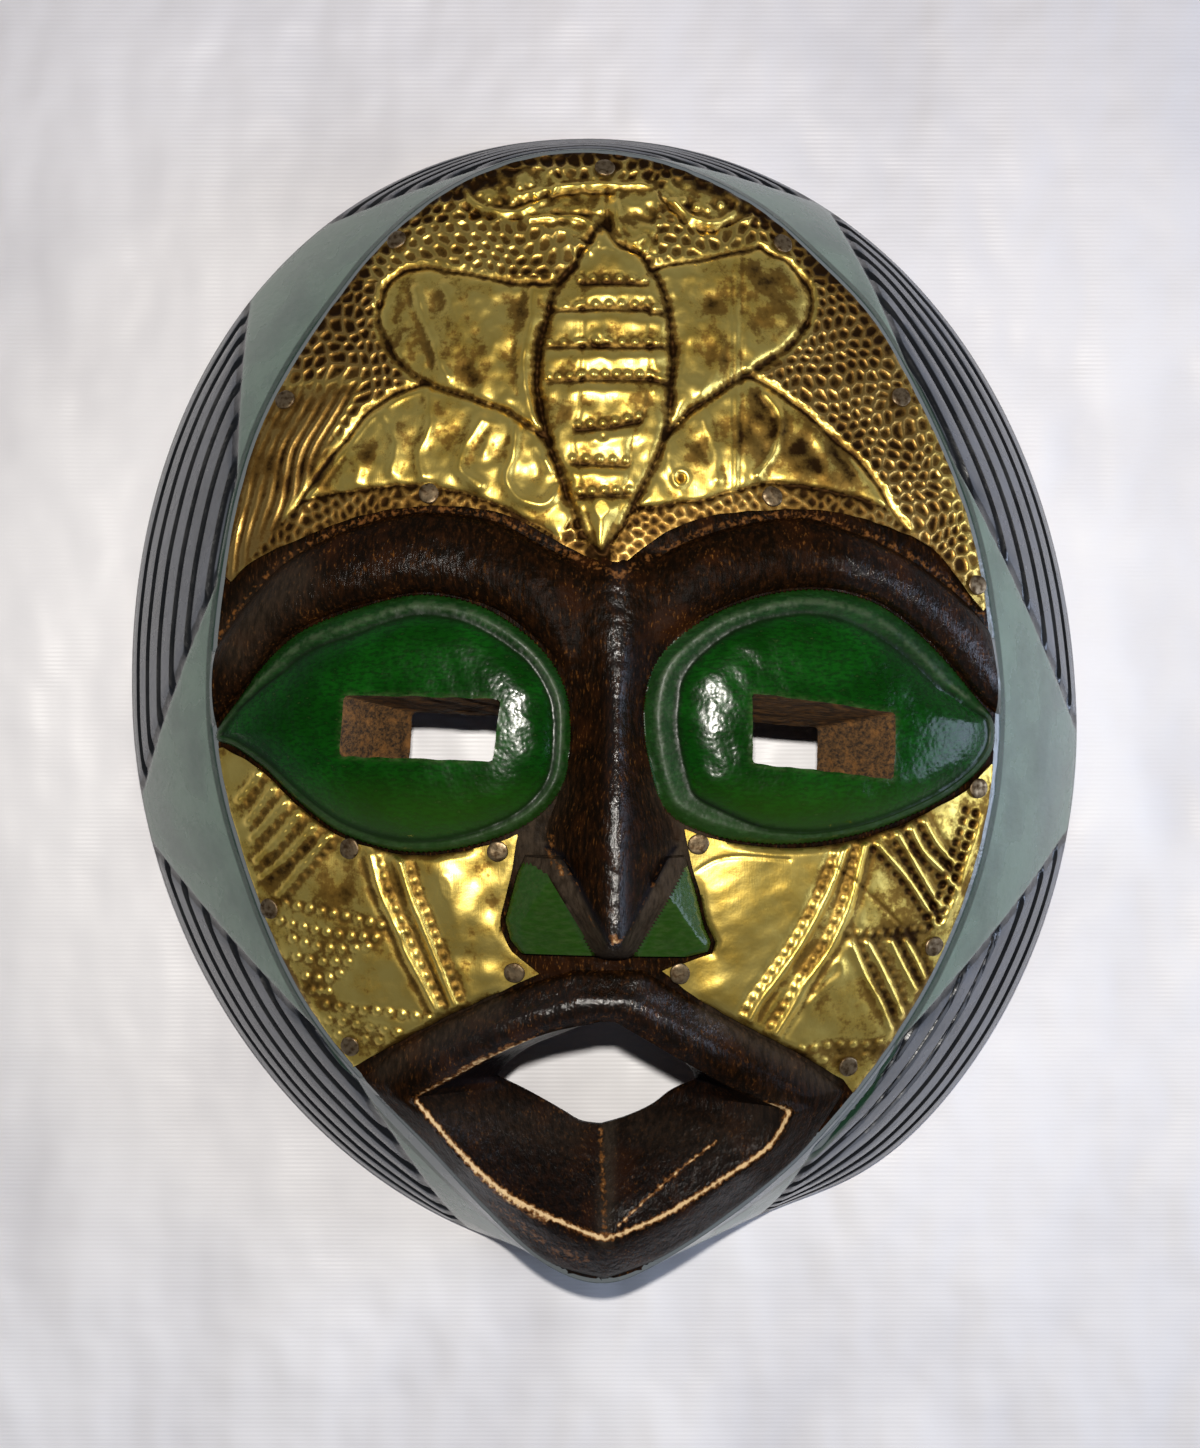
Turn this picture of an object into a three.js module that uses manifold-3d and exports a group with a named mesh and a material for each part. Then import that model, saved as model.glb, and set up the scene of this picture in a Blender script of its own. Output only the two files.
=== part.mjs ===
// A carved wooden wall mask with three nailed sheets of embossed brass. Millimetres.
// The mask lies on its flat back rim: +Y is towards the forehead and +Z comes out of the face.
import * as THREE from 'three';
import { mergeVertices } from 'three/addons/utils/BufferGeometryUtils.js';
import Module from 'manifold-3d';

const wasm = await Module();
wasm.setup();

// The back rim, the widest outline, is two half superellipses on one axis that leans a little.
const rimHalfWidth = 115.4;
const rimWidestY = 0.6;
const rimTopReach = 140;
const rimBottomReach = 134.6;
const rimTopSquareness = 2.1;
const rimBottomSquareness = 1.93;
const rimLean = 0.034;
const rimTrim = 4.5;
const rimTrimDegrees = -71.5;
const rimTrimSpan = 10.5;
const rimLip = 3;
const rimFlatWidth = 11;

// The front edge of the face, where the side band starts.
const faceEdgePoints = [
  [-3, 130], [-18, 128.6], [-33, 123], [-46, 113.8], [-58, 100.5], [-78, 66.5], [-87, 28],
  [-88.5, -4], [-81.5, -35], [-67, -67.5], [-40, -99], [-13, -125.5], [0, -129.5], [13, -124.5],
  [44, -101], [71, -65.5], [85, -32], [89, -1], [86.6, 26], [83.5, 41], [78.5, 56], [70.5, 74.5],
  [61.5, 91], [49.5, 104.4], [35.2, 117.2], [15, 127],
];
const faceEdgeHeight = 40;
const foreheadEdgeDrop = 10;
const chinEdgeDrop = 3;
const faceCrown = 19;
const crownPower = 2.2;
const bandSwellShare = 0.05;

// The hollow at the back.
const hollowDepth = 38;
const hollowSquareness = 4;

// Every ring of the body is laid out on spokes from this point.
const hubX = 0;
const hubY = -5;
const spokeCount = 72;
const faceRings = [0.17, 0.33, 0.47, 0.59, 0.69, 0.78, 0.86, 0.93, 1];
const bandRows = 4;
const hollowRings = [0.985, 0.94, 0.86, 0.74, 0.58, 0.34];

// Everything on the face lies between these two levels, and a cutting shape runs from one to the other.
const toolBottom = 10;
const toolTop = 95;

// How far a raised feature is rooted into the wood below the face, and how far its foot stands proud.
const rootDepth = 5;
const footHeight = 0.6;

// The two brows are one rounded roll each, between an upper and a lower edge.
const browHeight = 4.2;
const browShoulderShare = 0.85;
const leftBrow = {
  upper: [
    [-84, 19.5], [-79.5, 25], [-72, 32.5], [-61, 38.5], [-46.5, 43], [-36, 43.6], [-24, 41.5],
    [-12.5, 35.5], [3, 28.5],
  ],
  lower: [
    [-86, 2], [-79.5, 7.5], [-71.8, 16], [-62.8, 21], [-49.5, 24.8], [-40.2, 26.4], [-31.3, 25.2],
    [-20.5, 20.4], [-8, 8],
  ],
};
const rightBrow = {
  upper: [
    [87.2, 17], [83.1, 22.4], [74.1, 29.8], [62.5, 36.5], [53.5, 40], [44.5, 42.5], [33, 41.5], [18, 37],
    [3, 28.5],
  ],
  lower: [
    [86.5, 1.6], [81, 7], [75.6, 13], [67.4, 20.2], [58.5, 25.3], [47, 27.6], [33.4, 25.9], [20.2, 20.3],
    [8, 9],
  ],
};

// The eyes are long domes, each cut through by a slanted slot.
const eyeDome = 4.5;
const eyeShells = [[1, 0.07], [0.86, 0.62], [0.6, 0.92], [0.25, 1]];
const eyeSides = 24;
const leftEye = {
  centre: [-41, -2],
  outline: [
    [-87.6, -5.5], [-81.5, 3.5], [-74.8, 11.7], [-67.3, 17.8], [-53.6, 22.9], [-40.2, 25.6], [-27.1, 23],
    [-14, 13.9], [-8.6, 4.8], [-7.6, -5], [-9.4, -16], [-16.2, -23.6], [-31.5, -29.4], [-44.8, -30.2],
    [-58.3, -26.3], [-67.4, -20], [-76.8, -11.6], [-83, -7.6],
  ],
  slot: [[-59.7, 4.5], [-21, 2.4], [-22.4, -11], [-60.6, -8.8]],
  slotSlant: 0.71,
};
const rightEye = {
  centre: [45, -2],
  outline: [
    [87.2, -1.5], [83.5, 2.9], [75.6, 11.7], [67, 19.4], [58.3, 24.5], [47, 26.8], [33.6, 25.1],
    [20.5, 19.5], [11.6, 11.6], [8.6, 2.4], [9.7, -11.3], [13.6, -21.5], [22.7, -26.3], [38, -28.6],
    [55.9, -26.6], [74.4, -19.6], [83.5, -13.2], [87.4, -7.5],
  ],
  slot: [[30.8, 3.9], [68.7, 0.9], [67.9, -13.6], [30.2, -11.3]],
  slotSlant: -0.88,
};
const slotRise = 0.19;
const slotTopHeight = 60;
const slotOverrun = 40;

// The nose is a wedge whose ridge climbs to the tip, and whose end is cut to a V.
const noseRidge = { top: [3, 30], tip: [2, -49] };
const noseRidgeHeights = [[30, 3.8], [8, 7], [-6, 9.5], [-30, 13.5], [-49, 16.5]];
const noseLeftFoot = [[30, -4], [8, -7.5], [-5, -7.2], [-18, -9.5], [-30, -11.5], [-49, 1]];
const noseRightFoot = [[30, 9], [8, 8], [-5, 8.8], [-18, 11.5], [-30, 14.8], [-49, 3]];
const noseWingY = -30;
const noseStations = [30, 19, 8, -5, -18, -30, -37, -43, -49];
const noseSidePower = 1.4;

// The nostrils are a low block under the V, with a straight undercut base.
const nostrilBlock = {
  peak: [1.5, -38],
  outline: [
    [-17.2, -31], [-19, -35], [-21.7, -45.2], [-20.6, -49.4], [-18.2, -52.4], [17.8, -53.1],
    [22.4, -52], [23, -50], [21.4, -46.5], [19.6, -39], [17.2, -31],
  ],
};
const nostrilEdgeHeight = 3;
const nostrilPeakHeight = 7;
const nostrilPeakSize = 0.4;

// The mouth is a four-sided frame round a funnel. Each list runs clockwise from the left corner.
const mouthOuter = [
  [-55, -82.6], [-45, -74], [-33, -67], [-20, -60.8], [-7, -56.2], [8, -56.2], [20, -63.7],
  [33, -71], [43, -76.8], [54, -85], [44.5, -99.1], [30.4, -111.3], [13.8, -122.7], [0, -128.2],
  [-13.2, -124], [-28.2, -110.3], [-40, -97.4], [-48.5, -89],
];
const mouthOpening = [
  [-42.5, -85.5], [-34, -80.6], [-25, -75.4], [-13, -69.8], [-1.2, -66.9], [2.2, -66.9], [13, -73.5],
  [22, -79], [31, -84], [41, -88], [37, -95.5], [26, -103.5], [13, -111.5], [0, -117],
  [-13, -111.5], [-22.5, -106.5], [-31, -99], [-38, -91],
];
const mouthHole = [
  [-23.5, -82.8], [-20.5, -79.5], [-16, -76], [-9.5, -73.4], [-1.2, -70], [2.2, -70], [9.5, -74.6],
  [14, -77], [17.5, -80], [19.8, -83.5], [15, -86.5], [11, -89.5], [5, -92.4], [-1, -94.3],
  [-5.5, -93.6], [-9.5, -91.2], [-14, -88.5], [-19.5, -85.5],
];
const upperArmCorners = 10;
const upperCrestShare = 0.55;
const lowerCrestShare = 0.86;
const mouthCrestHeight = 6.5;
const mouthEdgeHeight = 5;
const mouthHoleHeight = 33;
const mouthLipShare = 0.25;
const mouthEdgeBevel = 1;

// The brass sheets lie a hair above the wood. Each outline runs along the carving, then round the face edge.
const sheetGap = 0.3;
const sheetThickness = 0.6;
const sheetInset = 1.2;
const foreheadSheetEdge = [
  [-84, 29.5], [-78.5, 34], [-67, 38.8], [-53.5, 43.4], [-37, 45.3], [-22, 43.2], [-13.5, 39],
  [-6.5, 35], [2.8, 31.3], [7.5, 35], [13, 39], [21.5, 42.5], [35.5, 44.3], [47.5, 44.5], [56.5, 43],
  [64.5, 40.5], [72.6, 36.9], [78.2, 31], [81.6, 26.8], [85.2, 22.8],
];
const leftCheekSheetEdge = [
  [-56.8, -79.8], [-45.4, -72.9], [-33, -66], [-20, -59.6], [-14.4, -56.9], [-18.6, -53.6], [-20.6, -51.7],
  [-22.1, -48.4], [-22.7, -45.5], [-20.5, -35.5], [-18.9, -26.2], [-22.7, -28], [-31.5, -30.2],
  [-38.1, -31.1], [-45, -31], [-51.8, -29.5], [-58.7, -27.1], [-67.9, -20.7], [-77.2, -12.4], [-85.8, -7.8],
];
const rightCheekSheetEdge = [
  [87, -11.5], [84.4, -14], [80.6, -17.6], [74.7, -20.6], [65.3, -25], [56, -27.7], [47, -29.3],
  [38, -29.5], [29.2, -28.5], [22.9, -27.3], [17.2, -25.2], [18.2, -30.6], [20.5, -38.8], [22.3, -46.4],
  [24.1, -50], [23.4, -52.6], [18.4, -54.1], [12.4, -56.2], [20.3, -62.5], [33.5, -70.3], [43.6, -76],
  [53.4, -82.3],
];

// Domed iron tacks hold the sheets.
const tackHeadRadius = 2.3;
const tackHeadRise = 1;
const tackShankRadius = 0.6;
const tackShankLength = 8;
const tackPointLength = 1.5;
const tackHoleRadius = 1;
const tackHoleMargin = 2;
const tackHoleSides = 6;
const tackSides = 8;
const tackSeat = 0.45;
const tackPlaces = {
  forehead: [
    [0, 124.5], [-47.5, 108], [-72, 70.5], [40.5, 107], [66.6, 71], [-38.5, 47.9], [36.5, 47.2], [83.3, 28.6],
  ],
  left_cheek: [[-56, -29.8], [-23.2, -30], [-19.7, -56.6], [-57, -74.6], [-75, -43.8]],
  right_cheek: [[20.1, -28.4], [83.4, -16.9], [73.5, -52.2], [16.2, -56.7], [54.3, -79]],
};

// The bright, plain colours of the finishes.
const stainedWood = new THREE.MeshStandardMaterial({ color: 0x2a1a10, roughness: 0.4, metalness: 0 });
const brass = new THREE.MeshStandardMaterial({ color: 0xb5973a, roughness: 0.3, metalness: 1 });
const iron = new THREE.MeshStandardMaterial({ color: 0x6d6258, roughness: 0.5, metalness: 0.9 });

function eased(low, high, value) {
  const t = Math.min(Math.max((value - low) / (high - low), 0), 1);
  return t * t * (3 - 2 * t);
}

function along(table, key) {
  // Straight interpolation in a short list of [key, value], with keys that fall.
  for (let i = 1; i < table.length; i += 1) {
    const [fromKey, fromValue] = table[i - 1];
    const [toKey, toValue] = table[i];
    if (key >= toKey) return fromValue + (toValue - fromValue) * (fromKey - key) / (fromKey - toKey);
  }
  return table[table.length - 1][1];
}

function between(a, b, share) {
  return [a[0] + (b[0] - a[0]) * share, a[1] + (b[1] - a[1]) * share];
}

function smoothLoop(points, count) {
  const knots = points.map(([x, y]) => new THREE.Vector3(x, y, 0));
  const curve = new THREE.CatmullRomCurve3(knots, true, 'centripetal');
  return curve.getSpacedPoints(count).slice(0, count).map((p) => [p.x, p.y]);
}

function rimLoop(count) {
  const loop = [];
  for (let i = 0; i < count; i += 1) {
    const turn = 2 * Math.PI * i / count;
    const up = Math.sin(turn);
    const power = 2 / (up > 0 ? rimTopSquareness : rimBottomSquareness);
    const y = rimWidestY + Math.sign(up) * Math.abs(up) ** power * (up > 0 ? rimTopReach : rimBottomReach);
    const x = Math.sign(Math.cos(turn)) * Math.abs(Math.cos(turn)) ** power * rimHalfWidth;
    loop.push([x - rimLean * y, y]);
  }
  return loop;
}

function reachOf(loop) {
  // The distance from the hub to a loop, for any direction.
  const polar = loop.map(([x, y]) => [Math.atan2(y - hubY, x - hubX), Math.hypot(x - hubX, y - hubY)]);
  polar.sort((a, b) => a[0] - b[0]);
  const first = polar[0];
  const last = polar[polar.length - 1];
  polar.unshift([last[0] - 2 * Math.PI, last[1]]);
  polar.push([first[0] + 2 * Math.PI, first[1]]);
  return (angle) => {
    const turned = Math.atan2(Math.sin(angle), Math.cos(angle));
    const next = polar.findIndex((p) => p[0] > turned);
    const [a0, r0] = polar[next - 1];
    const [a1, r1] = polar[next];
    return r0 + (r1 - r0) * (turned - a0) / (a1 - a0);
  };
}

const faceReach = reachOf(smoothLoop(faceEdgePoints, 400));
const fullRimReach = reachOf(rimLoop(720));

function rimReach(angle) {
  // The carver took the rim in on the lower right, where it runs almost straight to the chin.
  const turned = angle - rimTrimDegrees * Math.PI / 180;
  const away = Math.atan2(Math.sin(turned), Math.cos(turned)) * 180 / Math.PI / rimTrimSpan;
  return fullRimReach(angle) - rimTrim * Math.exp(-(away ** 2));
}

function edgeHeightAt(y) {
  return faceEdgeHeight - foreheadEdgeDrop * eased(40, 128, y) - chinEdgeDrop * eased(60, 130, -y);
}

function faceHeight(x, y) {
  const angle = Math.atan2(y - hubY, x - hubX);
  const reach = faceReach(angle);
  const share = Math.min(Math.hypot(x - hubX, y - hubY) / reach, 1);
  const edge = edgeHeightAt(hubY + reach * Math.sin(angle));
  return faceEdgeHeight + (edge - faceEdgeHeight) * share ** 2 + faceCrown * (1 - share ** crownPower);
}

function closedSolid(vertices, triangles) {
  const geometry = new THREE.BufferGeometry();
  geometry.setAttribute('position', new THREE.Float32BufferAttribute(vertices.flat(), 3));
  geometry.setIndex(triangles.flat());
  return geometry;
}

function toSolid(geometry) {
  const bare = geometry.clone();
  bare.deleteAttribute('normal');
  bare.deleteAttribute('uv');
  const merged = mergeVertices(bare, 1e-4);
  const mesh = new wasm.Mesh({
    numProp: 3,
    vertProperties: new Float32Array(merged.attributes.position.array),
    triVerts: new Uint32Array(merged.index.array),
  });
  mesh.merge();
  return new wasm.Manifold(mesh);
}

function toGeometry(solid) {
  const mesh = solid.getMesh();
  const geometry = new THREE.BufferGeometry();
  geometry.setAttribute('position', new THREE.BufferAttribute(mesh.vertProperties, 3));
  geometry.setIndex(new THREE.BufferAttribute(mesh.triVerts, 1));
  return geometry;
}

function joinRings(rings, closedTube) {
  // Rings of equal length, each counter-clockwise seen from the side that the stack grows towards.
  const size = rings[0].length;
  const vertices = rings.flat();
  const triangles = [];
  const steps = closedTube ? rings.length : rings.length - 1;
  for (let row = 0; row < steps; row += 1) {
    const low = row * size;
    const high = ((row + 1) % rings.length) * size;
    for (let i = 0; i < size; i += 1) {
      const j = (i + 1) % size;
      triangles.push([low + i, low + j, high + j], [low + i, high + j, high + i]);
    }
  }
  if (!closedTube) {
    for (let i = 1; i < size - 1; i += 1) {
      triangles.push([0, i + 1, i]);
      const top = (rings.length - 1) * size;
      triangles.push([top, top + i, top + i + 1]);
    }
  }
  return closedSolid(vertices, triangles);
}

function spokeRing(radiusAt, heightAt) {
  const ring = [];
  for (let i = 0; i < spokeCount; i += 1) {
    const angle = 2 * Math.PI * i / spokeCount;
    const radius = radiusAt(angle);
    const x = hubX + radius * Math.cos(angle);
    const y = hubY + radius * Math.sin(angle);
    ring.push([x, y, heightAt(x, y, angle)]);
  }
  return ring;
}

function domeOfRings(rings, topCentre, bottomCentre) {
  // Closed body from rings that run from the bottom centre outwards, over the rim and in to the top centre.
  const vertices = [bottomCentre, ...rings.flat(), topCentre];
  const triangles = [];
  const last = vertices.length - 1;
  for (let i = 0; i < spokeCount; i += 1) {
    const j = (i + 1) % spokeCount;
    triangles.push([0, 1 + j, 1 + i]);
    for (let row = 0; row < rings.length - 1; row += 1) {
      const low = 1 + row * spokeCount;
      const high = low + spokeCount;
      triangles.push([low + i, low + j, high + j], [low + i, high + j, high + i]);
    }
    const top = 1 + (rings.length - 1) * spokeCount;
    triangles.push([top + i, top + j, last]);
  }
  return closedSolid(vertices, triangles);
}

function bandRing(share) {
  // The side band swells outwards between the face edge and the lip of the rim.
  const run = (angle) => {
    const reach = faceReach(angle);
    const edge = edgeHeightAt(hubY + reach * Math.sin(angle));
    const across = rimReach(angle) - reach;
    const swell = bandSwellShare * across * 4 * share * (1 - share);
    const drop = edge - rimLip;
    const slope = Math.hypot(across, drop);
    return {
      radius: reach + across * share + swell * drop / slope,
      height: edge - drop * share + swell * across / slope,
    };
  };
  return spokeRing((angle) => run(angle).radius, (x, y, angle) => run(angle).height);
}

function plainMask() {
  const hollowReach = (angle) => fullRimReach(angle) - rimFlatWidth;
  const hollowHeight = (share) => hollowDepth * Math.sqrt(1 - share ** hollowSquareness);
  const rings = [];
  for (const share of [...hollowRings].reverse()) {
    rings.push(spokeRing((angle) => share * hollowReach(angle), () => hollowHeight(share)));
  }
  rings.push(spokeRing(hollowReach, () => 0));
  rings.push(spokeRing(rimReach, () => 0));
  for (let row = bandRows; row > 0; row -= 1) rings.push(bandRing(row / bandRows));
  for (const share of [...faceRings].reverse()) {
    rings.push(spokeRing((angle) => share * faceReach(angle), faceHeight));
  }
  return domeOfRings(rings, [hubX, hubY, faceHeight(hubX, hubY)], [hubX, hubY, hollowDepth]);
}

function faceSkin(bottomLift, topLift) {
  // A thin shell with the same facets as the face, lifted off it.
  const rings = [];
  for (const share of faceRings) {
    rings.push(spokeRing((angle) => share * faceReach(angle), (x, y) => faceHeight(x, y) + bottomLift));
  }
  for (const share of [...faceRings].reverse()) {
    rings.push(spokeRing((angle) => share * faceReach(angle), (x, y) => faceHeight(x, y) + topLift));
  }
  const middle = faceHeight(hubX, hubY);
  return domeOfRings(rings, [hubX, hubY, middle + topLift], [hubX, hubY, middle + bottomLift]);
}

function browRoll(brow, towardsRight) {
  // Cross-sections from the upper edge, over the crown of the roll, to the lower edge.
  const shoulder = browHeight * browShoulderShare;
  const crown = [[0, -rootDepth], [0, footHeight], [0.25, shoulder], [0.5, browHeight], [0.75, shoulder],
    [1, footHeight], [1, -rootDepth]];
  const rings = brow.upper.map((upper, i) => crown.map(([share, lift]) => {
    const [x, y] = between(upper, brow.lower[i], share);
    return [x, y, faceHeight(x, y) + lift];
  }));
  return joinRings(towardsRight ? rings.map((ring) => [...ring].reverse()) : rings, false);
}

function eyeBall(eye) {
  const loop = smoothLoop(eye.outline, eyeSides);
  const counterClockwise = loop[0][0] < eye.centre[0] ? [...loop].reverse() : loop;
  const shells = [[1, -rootDepth], ...eyeShells.map(([size, share]) => [size, eyeDome * share])];
  const rings = shells.map(([size, lift]) => counterClockwise.map((point) => {
    const [x, y] = between(eye.centre, point, size);
    return [x, y, faceHeight(x, y) + lift];
  }));
  return joinRings(rings, false);
}

function noseWedge() {
  const rings = noseStations.map((y) => {
    const travel = (noseRidge.top[1] - y) / (noseRidge.top[1] - noseRidge.tip[1]);
    const ridgeX = between(noseRidge.top, noseRidge.tip, travel)[0];
    const ridge = along(noseRidgeHeights, y);
    const wingY = Math.max(y, noseWingY);
    const side = (foot, wing) => {
      const share = Math.abs(foot - ridgeX) / Math.abs(wing - ridgeX);
      const lift = (part) => ridge * (1 - (share * part) ** noseSidePower) + footHeight;
      const x = (part) => ridgeX + (foot - ridgeX) * part;
      return [1, 0.5].map((part) => [x(part), y, faceHeight(x(part), y) + lift(part)]);
    };
    const left = side(along(noseLeftFoot, y), along(noseLeftFoot, wingY));
    const right = side(along(noseRightFoot, y), along(noseRightFoot, wingY));
    const leftRoot = [left[0][0], y, faceHeight(left[0][0], y) - rootDepth];
    const rightRoot = [right[0][0], y, faceHeight(right[0][0], y) - rootDepth];
    const crest = [ridgeX, y, faceHeight(ridgeX, y) + ridge + footHeight];
    return [leftRoot, ...left, crest, ...right.reverse(), rightRoot];
  });
  return joinRings(rings.map((ring) => [...ring].reverse()), false);
}

function nostrils() {
  const shells = [[1, -rootDepth], [1, nostrilEdgeHeight], [nostrilPeakSize, nostrilPeakHeight]];
  const rings = shells.map(([size, lift]) => nostrilBlock.outline.map((point) => {
    const [x, y] = between(nostrilBlock.peak, point, size);
    return [x, y, faceHeight(x, y) + lift];
  }));
  return joinRings(rings, false);
}

function mouthFrame() {
  const lifted = (points, lift) => points.map(([x, y]) => [x, y, faceHeight(x, y) + lift]);
  const crest = mouthOuter.map((outer, i) => {
    const share = i < upperArmCorners ? upperCrestShare : lowerCrestShare;
    return between(outer, mouthOpening[i], share);
  });
  const inside = mouthOpening.map((edge, i) => between(edge, mouthHole[i], mouthLipShare));
  const rings = [
    lifted(inside, -rootDepth),
    lifted(mouthOuter, -rootDepth),
    lifted(mouthOuter, footHeight),
    lifted(crest, mouthCrestHeight),
    lifted(inside, mouthEdgeHeight),
  ];
  return joinRings(rings.map((ring) => [...ring].reverse()), true);
}

function mouthFunnel() {
  const level = (points, z) => points.map(([x, y]) => [x, y, z]);
  const edge = mouthOpening.map(([x, y]) => [x, y, faceHeight(x, y) + mouthEdgeHeight - mouthEdgeBevel]);
  const rings = [
    level(mouthHole, toolBottom),
    level(mouthHole, mouthHoleHeight),
    edge,
    level(mouthOpening, toolTop),
  ];
  return joinRings(rings.map((ring) => [...ring].reverse()), false);
}

function eyeSlot(eye) {
  const ringAt = (drop) => eye.slot
    .map(([x, y]) => [x + eye.slotSlant * drop, y - slotRise * drop, slotTopHeight - drop])
    .reverse();
  return joinRings([ringAt(slotOverrun), ringAt(-slotOverrun / 2)], false);
}

function sheetPrism(edge) {
  // The outline follows the carving, then returns along the face edge, a little inside it.
  const angleOf = ([x, y]) => Math.atan2(y - hubY, x - hubX);
  const from = angleOf(edge[edge.length - 1]);
  let sweep = angleOf(edge[0]) - from;
  while (sweep <= 0) sweep += 2 * Math.PI;
  const steps = Math.ceil(sweep / (2 * Math.PI) * spokeCount);
  const outline = [...edge];
  for (let i = 1; i < steps; i += 1) {
    const angle = from + sweep * i / steps;
    const reach = faceReach(angle) - sheetInset;
    outline.push([hubX + reach * Math.cos(angle), hubY + reach * Math.sin(angle)]);
  }
  const shape = new THREE.Shape(outline.map(([x, y]) => new THREE.Vector2(x, y)));
  return toSolid(new THREE.ExtrudeGeometry(shape, { depth: toolTop, bevelEnabled: false }));
}

function tackStance([x, y]) {
  // A tack stands square to the face.
  const step = tackHeadRadius;
  const slopeX = (faceHeight(x + step, y) - faceHeight(x - step, y)) / (2 * step);
  const slopeY = (faceHeight(x, y + step) - faceHeight(x, y - step)) / (2 * step);
  const normal = new THREE.Vector3(-slopeX, -slopeY, 1).normalize();
  const turn = new THREE.Quaternion().setFromUnitVectors(new THREE.Vector3(0, 1, 0), normal);
  const seat = new THREE.Vector3(x, y, faceHeight(x, y) + sheetGap + sheetThickness);
  return { turn, place: seat.addScaledVector(normal, tackSeat) };
}

function tack() {
  const profile = [
    [0, -tackShankLength - tackPointLength],
    [tackShankRadius, -tackShankLength],
    [tackShankRadius, 0],
    [tackHeadRadius, 0],
    [tackHeadRadius, tackHeadRise / 4],
    [tackHeadRadius * 2 / 3, tackHeadRise * 3 / 4],
    [0, tackHeadRise],
  ];
  return new THREE.LatheGeometry(profile.map(([r, y]) => new THREE.Vector2(r, y)), tackSides);
}

function tackHole(stance) {
  const length = tackShankLength + tackPointLength + 2 * tackHoleMargin;
  const drill = new THREE.CylinderGeometry(tackHoleRadius, tackHoleRadius, length, tackHoleSides);
  drill.translate(0, tackHoleMargin - length / 2, 0);
  drill.applyQuaternion(stance.turn);
  drill.translate(stance.place.x, stance.place.y, stance.place.z);
  return toSolid(drill);
}

const stances = Object.fromEntries(
  Object.entries(tackPlaces).map(([sheet, places]) => [sheet, places.map(tackStance)]),
);
const holes = Object.values(stances).flat().map(tackHole);

function drilled(solid) {
  return holes.reduce((rest, hole) => rest.subtract(hole), solid);
}

function maskBody() {
  const raised = [
    browRoll(leftBrow, false),
    browRoll(rightBrow, true),
    eyeBall(leftEye),
    eyeBall(rightEye),
    noseWedge(),
    nostrils(),
    mouthFrame(),
  ];
  const cut = [eyeSlot(leftEye), eyeSlot(rightEye), mouthFunnel()];
  let solid = toSolid(plainMask());
  for (const feature of raised) solid = solid.add(toSolid(feature));
  for (const opening of cut) solid = solid.subtract(toSolid(opening));
  return toGeometry(drilled(solid));
}

function brassSheet(edge) {
  const skin = toSolid(faceSkin(sheetGap, sheetGap + sheetThickness));
  return toGeometry(drilled(skin.intersect(sheetPrism(edge))));
}

const mask = new THREE.Group();

function addPiece(name, geometry, material) {
  const mesh = new THREE.Mesh(geometry, material);
  mesh.name = name;
  mask.add(mesh);
  return mesh;
}

const body = addPiece('mask_body', maskBody(), stainedWood);
addPiece('forehead_brass_sheet', brassSheet(foreheadSheetEdge), brass);
addPiece('left_cheek_brass_sheet', brassSheet(leftCheekSheetEdge), brass);
addPiece('right_cheek_brass_sheet', brassSheet(rightCheekSheetEdge), brass);
for (const [sheet, places] of Object.entries(stances)) {
  places.forEach((stance, i) => {
    const nail = addPiece(`${sheet}_tack_${i + 1}`, tack(), iron);
    nail.quaternion.copy(stance.turn);
    nail.position.copy(stance.place);
  });
}

// The origin is the middle of the back rim.
body.geometry.computeBoundingBox();
const middle = body.geometry.boundingBox.getCenter(new THREE.Vector3());
mask.position.set(-middle.x, -middle.y, 0);

export default mask;
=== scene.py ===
# %% [markdown]
# # A carved wall mask with embossed brass
#
# The mask is one piece of light, soft wood. A carver roughs out the oval, hollows the back so
# that it hangs light, and leaves the brows, eyes, nose and mouth standing proud of the face.
# The wood is stained almost black, the eyes and the side band are painted green, and three thin
# sheets of brass, chased with a winged insect, rows of dots and ribs, are tacked to the face.
#
# The lesson follows the same order: the shape of the face, the wood, the brass, the tacks, then
# the finishes and the light. Lengths are in millimetres until a mesh is made. The face has its
# own origin between the eyes, and SHIFT brings it into the frame's.

# %% The frame
import math

import bpy
import numpy as np
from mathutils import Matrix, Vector
from mathutils.geometry import delaunay_2d_cdt


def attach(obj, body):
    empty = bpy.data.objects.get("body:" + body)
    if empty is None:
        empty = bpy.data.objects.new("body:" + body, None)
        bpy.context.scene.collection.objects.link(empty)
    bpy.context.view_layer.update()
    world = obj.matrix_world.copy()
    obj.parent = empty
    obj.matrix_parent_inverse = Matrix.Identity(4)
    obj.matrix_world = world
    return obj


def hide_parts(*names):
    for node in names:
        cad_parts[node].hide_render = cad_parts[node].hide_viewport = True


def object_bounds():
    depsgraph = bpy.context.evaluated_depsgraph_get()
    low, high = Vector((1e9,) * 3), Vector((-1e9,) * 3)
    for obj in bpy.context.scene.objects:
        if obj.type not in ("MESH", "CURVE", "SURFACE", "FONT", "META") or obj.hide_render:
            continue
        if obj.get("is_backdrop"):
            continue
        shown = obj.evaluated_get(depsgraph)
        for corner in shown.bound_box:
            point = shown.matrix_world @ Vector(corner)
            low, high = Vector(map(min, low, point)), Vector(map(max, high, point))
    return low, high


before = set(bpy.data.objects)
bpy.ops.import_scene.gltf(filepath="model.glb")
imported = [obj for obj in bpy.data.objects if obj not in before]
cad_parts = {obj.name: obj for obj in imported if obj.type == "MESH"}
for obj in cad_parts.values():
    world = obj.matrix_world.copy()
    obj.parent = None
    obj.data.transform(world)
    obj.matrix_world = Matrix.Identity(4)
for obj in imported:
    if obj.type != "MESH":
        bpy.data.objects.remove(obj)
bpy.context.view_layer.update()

print("pieces in the frame:", len(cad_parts))

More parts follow.
